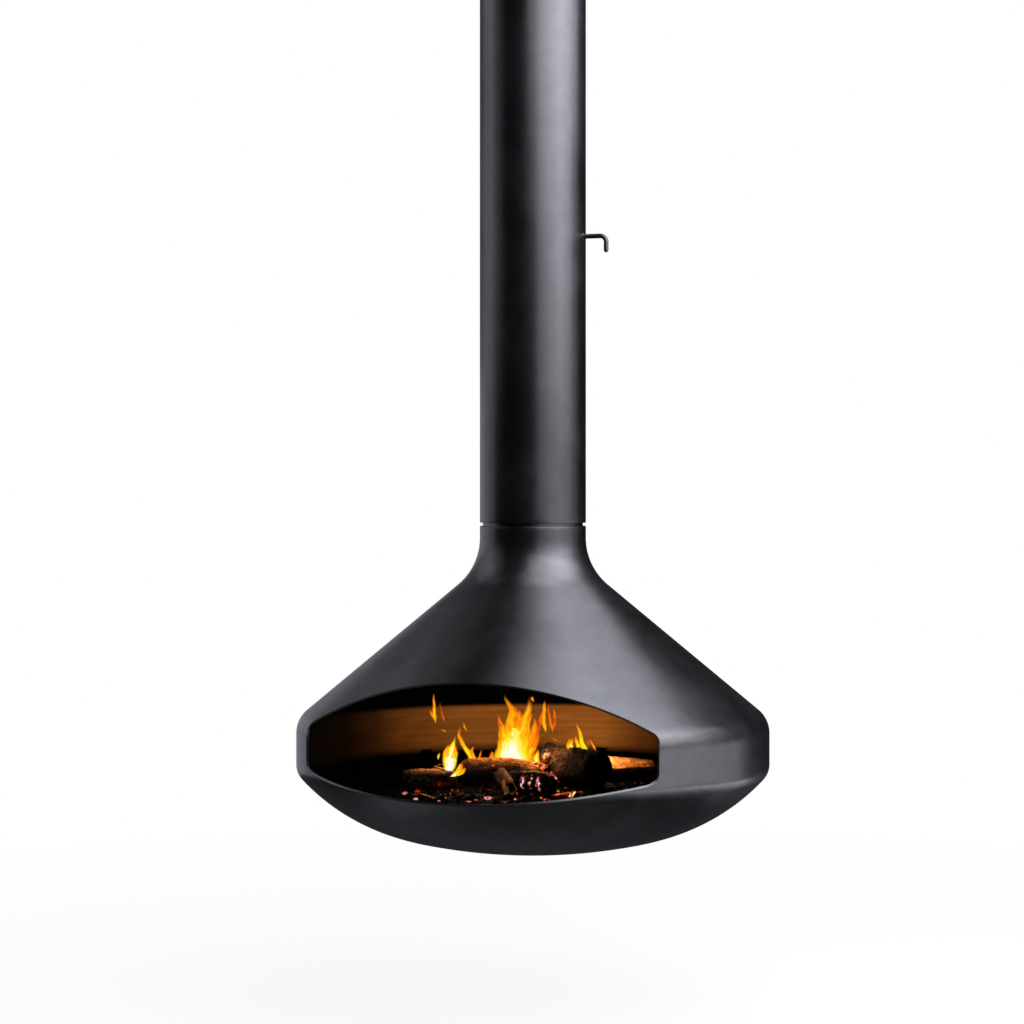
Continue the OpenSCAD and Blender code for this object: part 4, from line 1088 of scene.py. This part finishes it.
# Flames: each tongue is how far behind the axis, heat, degrees of yaw, and a line of x, y and half width in
# the frame, from foot to tip
flames = {
    "steps": 34, "around": 12, "flat": 0.5, "strandAcross": 2.3, "strandAlong": 15.0, "easings": 3,
    "widen": 1.38, "waver": 0.30, "shiver": 0.0011, "sway": 0.006,
    "tongues": [
        # main flame behind the middle log: its hot heart, then the strands round it
        (0.104, 1.22, 0, [(512, 775, 10), (512, 764, 17), (512, 755, 15), (512, 745, 12), (514, 735, 9),
            (516, 725, 6), (516, 715, 3), (516, 706, 0.4)]),
        (0.124, 0.86, 0, [(516, 765, 12), (517, 750, 13), (518, 738, 12), (519, 728, 10), (519, 719, 8),
            (518, 712, 5), (517, 706, 1)]),
        (0.098, 1.18, 0, [(507, 764, 8), (507, 752, 8), (508, 742, 6), (509, 733, 3), (509.5, 727, 0.4)]),
        (0.112, 0.9, 12, [(505, 772, 8), (505, 762, 10), (506, 752, 8.5), (507, 742, 7), (509, 732, 6),
            (511, 722, 4.6), (512.6, 713, 3.4), (511, 706, 2.6), (507.6, 702.5, 2.3), (505.2, 698, 1.8),
            (504.2, 694, 1.5), (504, 689.6, 0.2)]),
        (0.108, 0.92, -12, [(522, 772, 8), (521, 762, 9), (521, 752, 8.5), (521, 742, 7.5),
            (522.5, 732, 6.5), (524.5, 722, 4.6), (527.6, 713, 3.4), (529.2, 706, 3), (529.6, 699, 2.4),
            (529, 694.4, 0.4)]),
        (0.104, 0.5, 10, [(531, 700, 0.6), (531.8, 697, 1.4), (532.8, 700, 1.2), (533.8, 703.6, 0.2)]),
        (0.104, 0.56, 0, [(518, 735, 6), (517.6, 724, 5), (516.6, 715, 4), (516, 708, 2.6),
            (514.6, 703.6, 0.3)]),
        (0.114, 0.7, 20, [(526, 765, 5), (528.6, 755, 5), (531, 746, 4.6), (533.4, 737, 4), (534.6, 728, 3),
            (535.2, 720, 2), (535.8, 712.6, 0.2)]),
        (0.118, 0.48, -10, [(527, 763, 3), (531, 754, 3), (534.6, 745, 2.6), (537.4, 737, 2.2),
            (539.4, 729, 1.4), (540.2, 722, 0.2)]),
        (0.11, 0.42, 0, [(530, 752, 2.5), (534, 740, 2.6), (536.6, 730, 2.4), (539.4, 722, 1.8),
            (541.8, 714, 1.4), (543.6, 707, 0.3)]),
        (0.114, 0.98, -10, [(500, 775, 7), (499.6, 765, 7), (500.4, 757, 5.5), (502, 750, 4.5),
            (501.2, 743, 3.2), (499, 738, 1.8), (496.6, 734, 0.2)]),
        (0.118, 0.56, 15, [(504, 755, 5), (503.6, 745, 4.6), (502.6, 736, 3.8), (501.6, 728, 2.6),
            (499.8, 721, 1.6), (497.8, 715, 1), (496.4, 709.6, 0.2)]),
        (0.106, 0.78, 0, [(505, 748, 4.4), (504.4, 738, 3.8), (503.2, 729, 2.6), (503, 724, 1.4),
            (503.2, 719.4, 0.2)]),
        (0.104, 0.62, 0, [(509, 740, 4), (508.6, 730, 3.2), (508.2, 722, 2), (509.4, 714, 1.2),
            (509.8, 709, 0.2)]),
        (0.102, 0.66, 10, [(524, 745, 5), (524.6, 733, 4), (527, 723, 3), (530.6, 715, 1.6),
            (532.8, 709, 0.2)]),
        (0.1, 0.84, 0, [(515, 750, 6), (517, 738, 4), (518, 726, 2.6), (519.6, 716, 1.4),
            (520.4, 708, 0.2)]),
        (0.1, 0.74, 0, [(545.9, 732.8, 0.2), (545, 727, 1.5), (543.6, 721, 2.1), (543.6, 714, 2),
            (544.6, 707, 1.6), (544.6, 702, 1), (543.8, 697, 0.2)]),
        (0.1, 0.62, 0, [(545.6, 731, 0.2), (543, 725.6, 0.9), (540.6, 721.6, 0.9), (538.6, 724.4, 0.2)]),
        (0.1, 0.44, 0, [(552.8, 733, 0.2), (551.6, 727, 1.5), (550.2, 720, 1.4), (549, 713, 1),
            (547.8, 706, 0.7), (548.4, 700, 0.2)]),
        (0.1, 0.36, 0, [(552.4, 731, 0.2), (554.4, 724, 1.3), (555, 717, 1.2), (554, 710, 0.9),
            (552.8, 704, 0.2)]),
        (0.09, 0.82, 0, [(560.4, 742, 0.2), (556, 740, 0.9), (551.6, 738.6, 1.1), (547.6, 736.8, 0.2)]),
        (0.085, 0.92, 0, [(536.2, 766, 3.2), (536.4, 760, 2.9), (537, 754, 2), (537.6, 750, 1.1),
            (538, 745.6, 0.2)]),
        # left flame at the end of the left log
        (0.02, 1.16, 0, [(449.6, 771, 4), (450, 764, 5.6), (450, 757, 5.6), (450.6, 750, 4.4),
            (452.6, 744.6, 2.2), (455.2, 739, 1), (456.4, 731, 0.2)]),
        (0.016, 0.84, 10, [(447, 766, 3), (445.6, 760, 3), (445.6, 753, 2.8), (447.8, 747.6, 1.8),
            (449.4, 743.2, 0.2)]),
        (0.015, 0.7, 0, [(454, 758, 3), (455.6, 752, 2), (455.6, 747, 1), (454.8, 743.6, 0.2)]),
        (0.012, 0.86, 0, [(453, 776.6, 2), (456.6, 773.6, 3.8), (459.6, 768.6, 2.8), (461.2, 764, 1.4),
            (460.6, 760.2, 0.2)]),
        (0.014, 0.78, 0, [(457, 776, 2), (462, 772.6, 2.6), (464.2, 768.6, 1.4), (463.8, 765, 0.2)]),
        (0.008, 1.16, 0, [(451, 776.8, 1.4), (454, 775.4, 2.6), (457.4, 772.2, 2.2), (459, 768, 0.3)]),
        (0.016, 1.12, 0, [(438, 759.6, 0.2), (438.4, 756.6, 1.2), (439.4, 753.6, 0.8),
            (440.2, 751.4, 0.2)]),
        (0.018, 0.5, 0, [(436, 765.8, 0.2), (440, 764.6, 0.8), (444, 763.8, 0.9), (447, 763, 0.3)]),
        # tongue that leans out behind the middle log, and the small ones beside it
        (0.118, 0.9, 0, [(477.6, 770, 3.6), (474.8, 762.6, 3.6), (470.8, 756, 3), (466, 749, 2.4),
            (462, 742.4, 2), (459, 736, 1.8), (459, 731, 1.5), (461, 726.6, 1), (462.8, 723, 0.2)]),
        (0.116, 0.58, 0, [(466.4, 731, 0.2), (464.6, 727, 0.9), (463.6, 721, 0.2)]),
        (0.114, 0.74, 0, [(479, 768, 3), (476.6, 761.6, 2.8), (473.4, 756.4, 2), (470.4, 751.4, 1.6),
            (467.6, 747.4, 0.9), (465.8, 744, 0.2)]),
        (0.112, 0.56, 0, [(473, 755, 1.6), (471.8, 750.4, 1.3), (473, 747.2, 0.8), (474, 745, 0.2)]),
        (0.122, 0.52, 0, [(480, 768, 2.6), (479.2, 762, 1.6), (479.4, 757, 1.2), (481, 752, 1),
            (482.8, 748, 0.2)]),
        (0.122, 0.74, 0, [(484, 768, 1.8), (483.8, 760, 1), (484.4, 755, 0.2)]),
        (0.12, 0.5, 0, [(490, 770, 2.4), (491, 760, 2.1), (492, 753.6, 1.7), (492.4, 749.6, 0.5)]),
        # torn-off flames
        (0.05, 0.76, 0, [(436.2, 724.2, 0.2), (435, 719, 1.6), (434.2, 713, 2), (434.4, 706, 1.4),
            (433.6, 699, 0.9), (433.8, 689, 0.2)]),
        (0.05, 0.6, 0, [(435, 720, 1.2), (432.2, 714.6, 1.2), (430.2, 711.4, 0.7), (429.9, 707, 0.2)]),
        (0.05, 0.38, 0, [(443.6, 722.6, 0.2), (443.6, 717, 0.9), (441.8, 711.4, 0.8), (440, 705, 0.6),
            (440.8, 699, 0.2)]),
        (0.05, 0.8, 0, [(447.6, 732, 0.2), (443.2, 730.4, 1), (438, 728, 0.2)]),
        # right flames on the big log
        (0.086, 0.84, 0, [(586, 752, 2.6), (584, 747, 2.6), (581.4, 741, 2.3), (580.6, 735, 1.8),
            (578.8, 729, 1.4), (576.6, 723.6, 0.8), (575, 718.8, 0.2)]),
        (0.088, 0.8, 0, [(579.6, 751, 2.2), (578.2, 745.6, 1.8), (576.4, 741, 1.4), (575.2, 736.6, 1.1),
            (574.4, 732.4, 0.2)]),
        (0.09, 0.88, 0, [(570.6, 749, 3), (570.2, 744, 2.4), (571.8, 740.4, 1.4), (573.6, 738, 0.6),
            (574.6, 736.6, 0.2)]),
        (0.09, 0.74, 0, [(567.8, 747, 1.6), (567.8, 742.8, 1), (569.6, 739.4, 0.6), (571.6, 736.4, 0.2)]),
        (0.08, 0.52, 0, [(596.2, 751, 0.4), (594.6, 747.6, 1.2), (591.6, 742.6, 1), (588, 736.6, 0.2)]),
        (0.08, 0.34, 0, [(589.6, 747, 0.3), (588.4, 742, 0.7), (587.4, 737, 0.2)]),
    ],
}


def makeFlames():
    points, faces, heats, bodies, flows = [], [], [], [], []
    turn = math.radians(studio["cameraAzimuth"])
    across = np.array([math.cos(turn), math.sin(turn), 0])
    into = np.array([-math.sin(turn), math.cos(turn), 0])
    steps, around = flames["steps"], flames["around"]
    for number, (back, heat, yaw, line) in enumerate(flames["tongues"]):
        line = np.array(line, float)
        run = np.concatenate([[0], np.cumsum(np.hypot(*np.diff(line[:, :2], axis=0).T))])
        at = np.linspace(0, run[-1], steps)
        rows = np.stack([np.interp(at, run, line[:, i]) for i in range(3)], 1)
        for _ in range(flames["easings"]):  # the bends of the line are eased
            rows[1:-1] = (rows[:-2] + 2 * rows[1:-1] + rows[2:]) / 4
        yawed = across * math.cos(math.radians(yaw)) + into * math.sin(math.radians(yaw))
        deep = np.cross(yawed, [0, 0, 1])
        scale = (studio["cameraDistance"] + back) / studio["focalPixels"]
        first = len(points)
        for i, (x, y, half) in enumerate(rows):
            share = i / (steps - 1)
            half *= flames["widen"] + flames["waver"] * noise.noise(Vector((number * 2.3, at[i] / 5.0, 1.0)))
            shift = across * flames["shiver"] * noise.noise(Vector((number * 5.1, at[i] / 6.0, 4.0)))
            centre = inView(x, y, back) + into * flames["sway"] * math.sin(i * 0.35 + number) + shift
            width = half * scale
            for k in range(around):
                angle = 2 * math.pi * k / around
                side = math.cos(angle)
                points.append(centre + yawed * width * side + deep * width * flames["flat"] * math.sin(angle))
                core = (1 - side ** 2) * min(1.0, 0.45 + half / 5.0)
                fade = min(1, (1 - share) * 3.2) * min(1, share * 14 + 0.35)
                heats.append(heat * (0.42 + 0.58 * core) * (1 - 0.58 * share ** 1.3))
                bodies.append(core * fade)
                flows.append((side * half / flames["strandAcross"] + number * 3.7,
                              at[i] / flames["strandAlong"] + number * 1.3, math.sin(angle) * 0.4))
        faces += tube(first, steps, around)
        faces.append(tuple(first + k for k in range(around))[::-1])
        faces.append(tuple(first + (steps - 1) * around + k for k in range(around)))
    return points, faces, heats, bodies, flows


points, faces, heats, bodies, flows = makeFlames()
flameTongues = addPiece("flameTongues", points, faces, [finishes["flameGas"]], "fire_tray")
addFloats(flameTongues, hotness=heats, body=bodies)
layer = flameTongues.data.attributes.new("flow", "FLOAT_VECTOR", "POINT")
layer.data.foreach_set("vector", np.array(flows, np.float32).ravel())
flameTongues.visible_shadow = flameTongues.visible_diffuse = False
print("flames:", len(faces), "faces")


def seenFrom(azimuth, distance, height):  # azimuth is measured from the camera's own, to its right
    turn = math.radians(studio["cameraAzimuth"] + azimuth)
    return Vector((math.sin(turn) * distance, -math.cos(turn) * distance, grooveZ + height))


# Soft boxes that tile part of a dome round the set. For each height in degrees: azimuth and radiance of each
# box. The radiances from azimuth -20 up weren't chosen by hand: another program worked them out, by a least
# squares fit of the paint's gradients to the photograph's. Those from -160 to -80 were changed since
lampDome = {
    84: {-20: 1.1, 40: 2.4, 100: 1.7, 160: 1.3},
    68: {-20: 1.1, 10: 2.4, 40: 3.6, 70: 4.6, 100: 3.2, 130: 2.4, 160: 1.0},
    52: {-120: 0.2, -100: 0.4, 0: 2.7, 20: 3.6, 40: 4.5, 60: 5.9, 80: 6.0, 100: 3.6, 120: 1.7, 140: 2.5,
         160: 1.0},
    36: {-160: 0.08, -140: 0.15, -120: 0.6, -100: 0.9, -80: 0.3, 0: 1.5, 20: 4.3, 40: 5.7, 60: 7.0, 80: 5.5,
         100: 2.5},
    20: {-160: 0.12, -140: 0.2, -120: 0.55, -100: 0.8, -80: 0.3, 20: 1.6, 40: 2.8, 60: 4.1, 80: 2.7,
         100: 0.6},
    4: {-160: 0.40, -140: 0.60, -120: 0.6, -100: 0.5, 20: 0.7, 40: 1.0, 60: 1.1, 80: 1.0, 100: 0.3},
    -12: {-160: 0.5, -140: 0.5, -120: 0.4, 40: 1.6, 60: 2.2, 80: 1.7, 100: 1.2},
}
dome = {
    "radius": 2.8, "centre": -0.15, "tall": 0.78, "cool": (0.88, 0.89, 1.0),
    "topRow": 84, "topWide": 0.70, "highRow": 68, "highTile": 30, "tile": 20,  # tiles are degrees wide
}


def addLight(name, kind, place, colour, power):
    lamp = bpy.data.lights.new(name, kind)
    lamp.color, lamp.energy = colour, power
    light = addObject(name, lamp)
    light.location = place
    light.visible_camera = False
    return light


def addBox(name, place, aim, wide, tall, radiance):
    light = addLight(name, "AREA", place, dome["cool"], radiance * math.pi * wide * tall)
    light.rotation_euler = (aim - place).to_track_quat("-Z", "Y").to_euler()
    light.data.shape = "RECTANGLE"
    light.data.size, light.data.size_y = wide, tall


middle = seenFrom(0, 0, dome["centre"])
for rise, row in lampDome.items():
    far, up = dome["radius"] * math.cos(math.radians(rise)), dome["radius"] * math.sin(math.radians(rise))
    wide = far * math.radians(dome["highTile"] if rise == dome["highRow"] else dome["tile"])
    if rise == dome["topRow"]:
        wide = dome["topWide"]
    for azimuth, radiance in row.items():
        place = seenFrom(azimuth, far, dome["centre"] + up)
        addBox(f"softBox_{rise}_{azimuth}", place, middle, wide, dome["tall"], radiance)

lowBoxes = {  # they lie low round the hearth, for its turned edge
    "aim": -0.40, "tile": 25, "shares": {0: 0.12, 25: 0.8, 50: 1.0, 75: 1.0, 100: 0.8},
    # distance, height, depth, radiance
    "rows": [(1.40, -0.93, 0.27, 1.6), (1.13, -0.93, 0.26, 1.15), (0.90, -0.95, 0.20, 0.42),
             (0.72, -0.96, 0.16, 0.16)],
}
for far, height, tall, radiance in lowBoxes["rows"]:
    for azimuth, share in lowBoxes["shares"].items():
        place, wide = seenFrom(azimuth, far, height), far * math.radians(lowBoxes["tile"])
        aim = seenFrom(0, 0, lowBoxes["aim"])
        addBox(f"lowBox_{far}_{azimuth}", place, aim, wide, tall, radiance * share)
# Under the bowl, facing up: azimuth, distance, height, the distance aimed at, width, depth, radiance
underBoxes = {
    "underBox": (-50, 0.25, -1.00, 0.25, 1.1, 0.8, 0.035),
    "underLeft": (-60, 0.68, -0.99, 0.60, 0.55, 0.8, 0.15),
}
for name, (azimuth, far, height, aim, wide, tall, radiance) in underBoxes.items():
    addBox(name, seenFrom(azimuth, far, height), seenFrom(azimuth, aim, 0), wide, tall, radiance)

# Firelight: place in the frame, distance behind the axis, radius, power
fireColour = (1.0, 0.60, 0.27)
fireLights = {
    "mainFire": (514, 724, 0.13, 0.040, 3.0), "leftFire": (450, 752, 0.02, 0.015, 0.35),
    "rightFire": (596, 735, 0.150, 0.012, 1.5), "emberFire": (530, 746, 0.075, 0.010, 0.45),
    "frontFire": (486, 738, 0.0, 0.018, 0.75),
}
for name, (x, y, back, radius, power) in fireLights.items():
    light = addLight(name, "POINT", inView(x, y, back), fireColour, power)
    light.data.shadow_soft_size = radius
    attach(light, "fire_tray")
print("lamps:", len(bpy.data.lights))


def plainLight(tree, factor, shader):  # plain white instead of the shader where the factor is 1
    glow = factor.node("ShaderNodeEmission", {}, {"Color": (1, 1, 1, 1), "Strength": 1.0})
    mixed = factor.node("ShaderNodeMixShader", {}, {0: factor, 1: shader, 2: glow})
    tree.links.new(mixed.socket, tree.nodes["Material Output"].inputs["Surface"])


def whiteRays(tree):  # 1 for what the camera sees, also in a reflection or through glass
    path = tree.nodes.new("ShaderNodeLightPath")
    camera, glossy, through = (Wire(tree, path.outputs[f"Is {kind} Ray"])
                               for kind in ("Camera", "Glossy", "Transmission"))
    return (camera + glossy + through).clamp()


world = bpy.data.worlds.new("studio")
world.use_nodes = True
bpy.context.scene.world = world
tree = world.node_tree
seen = whiteRays(tree)
strength = seen + (1 - seen) * studio["worldFill"]
tree.links.new(strength.socket, tree.nodes["Background"].inputs["Strength"])
tree.nodes["Background"].inputs["Color"].default_value = (1, 1, 1, 1)


def addStage(name, points, faces, material):
    mesh = bpy.data.meshes.new(name)
    mesh.from_pydata([tuple(p) for p in points], [], faces)
    mesh.materials.append(material)
    thing = addObject(name, mesh)
    return thing


floorMaterial = newMaterial("paleFloor", lambda place: {"Base Color": grey(0.8), "Roughness": 0.9})
tree = floorMaterial.node_tree
place = Wire(tree).node("ShaderNodeTexCoord", out=3)
away = place.node("ShaderNodeVectorMath", {"operation": "LENGTH"}, {0: place}, out="Value")
white = whiteRays(tree) * (0.90 + 0.10 * away.span(0.8, 3.0))  # the floor's own shadow shows under the object
plainLight(tree, white, Wire(tree, tree.nodes["Principled BSDF"].outputs[0]))
side = studio["floorSize"] / 2
corners = [(-side, -side, 0), (side, -side, 0), (side, side, 0), (-side, side, 0)]
floor = addStage("floor", corners, [(0, 1, 2, 3)], floorMaterial)
floor.location.z = studio["floorZ"]

# Black cloth round and over the set and grey cloth on its floor, which only reflections see: they keep the
# paint's edges and its middle stripe dark
clothMaterial, underMaterial = (newMaterial(name, lambda place, glow=glow: {
    "Base Color": grey(0.0), "Roughness": 1.0, "Specular IOR Level": 0.0,
    "Emission Color": (0.84, 0.88, 1.0, 1), "Emission Strength": studio[glow],
}) for name, glow in (("blackCloth", "tentGlow"), ("greyCloth", "underGlow")))
sides = studio["tentSides"]
ring = [seenFrom(azimuth, studio["tentR"], 0) for azimuth in np.linspace(-180, 180, sides + 1)[:-1]]
low, high = studio["floorZ"] + 0.01, studio["tentTop"]
posts = [(v.x, v.y, z) for v in ring for z in (low, high)]
walls = [(2 * i, 2 * i + 1, (2 * i + 3) % (2 * sides), (2 * i + 2) % (2 * sides)) for i in range(sides)]
cloths = [addStage("clothWall", posts, walls, clothMaterial)]
for name, height, material in (("clothRoof", high, clothMaterial), ("clothFloor", low, underMaterial)):
    cloths.append(addStage(name, [(v.x, v.y, height) for v in ring], [tuple(range(sides))], material))
for cloth in cloths:
    cloth.visible_camera = cloth.visible_shadow = cloth.visible_diffuse = False

lens = bpy.data.cameras.new("camera")
lens.lens, lens.sensor_width = studio["lens"], 36
lens.shift_x, lens.shift_y = studio["shiftX"], studio["shiftY"]
lens.clip_end = 200
camera = addObject("camera", lens)
camera.location = seenFrom(0, studio["cameraDistance"], studio["cameraHeight"])
camera.rotation_euler = (math.radians(90), 0, math.radians(studio["cameraAzimuth"]))
bpy.context.scene.camera = camera
bpy.context.scene.view_settings.view_transform = "Standard"

print("scene ready")
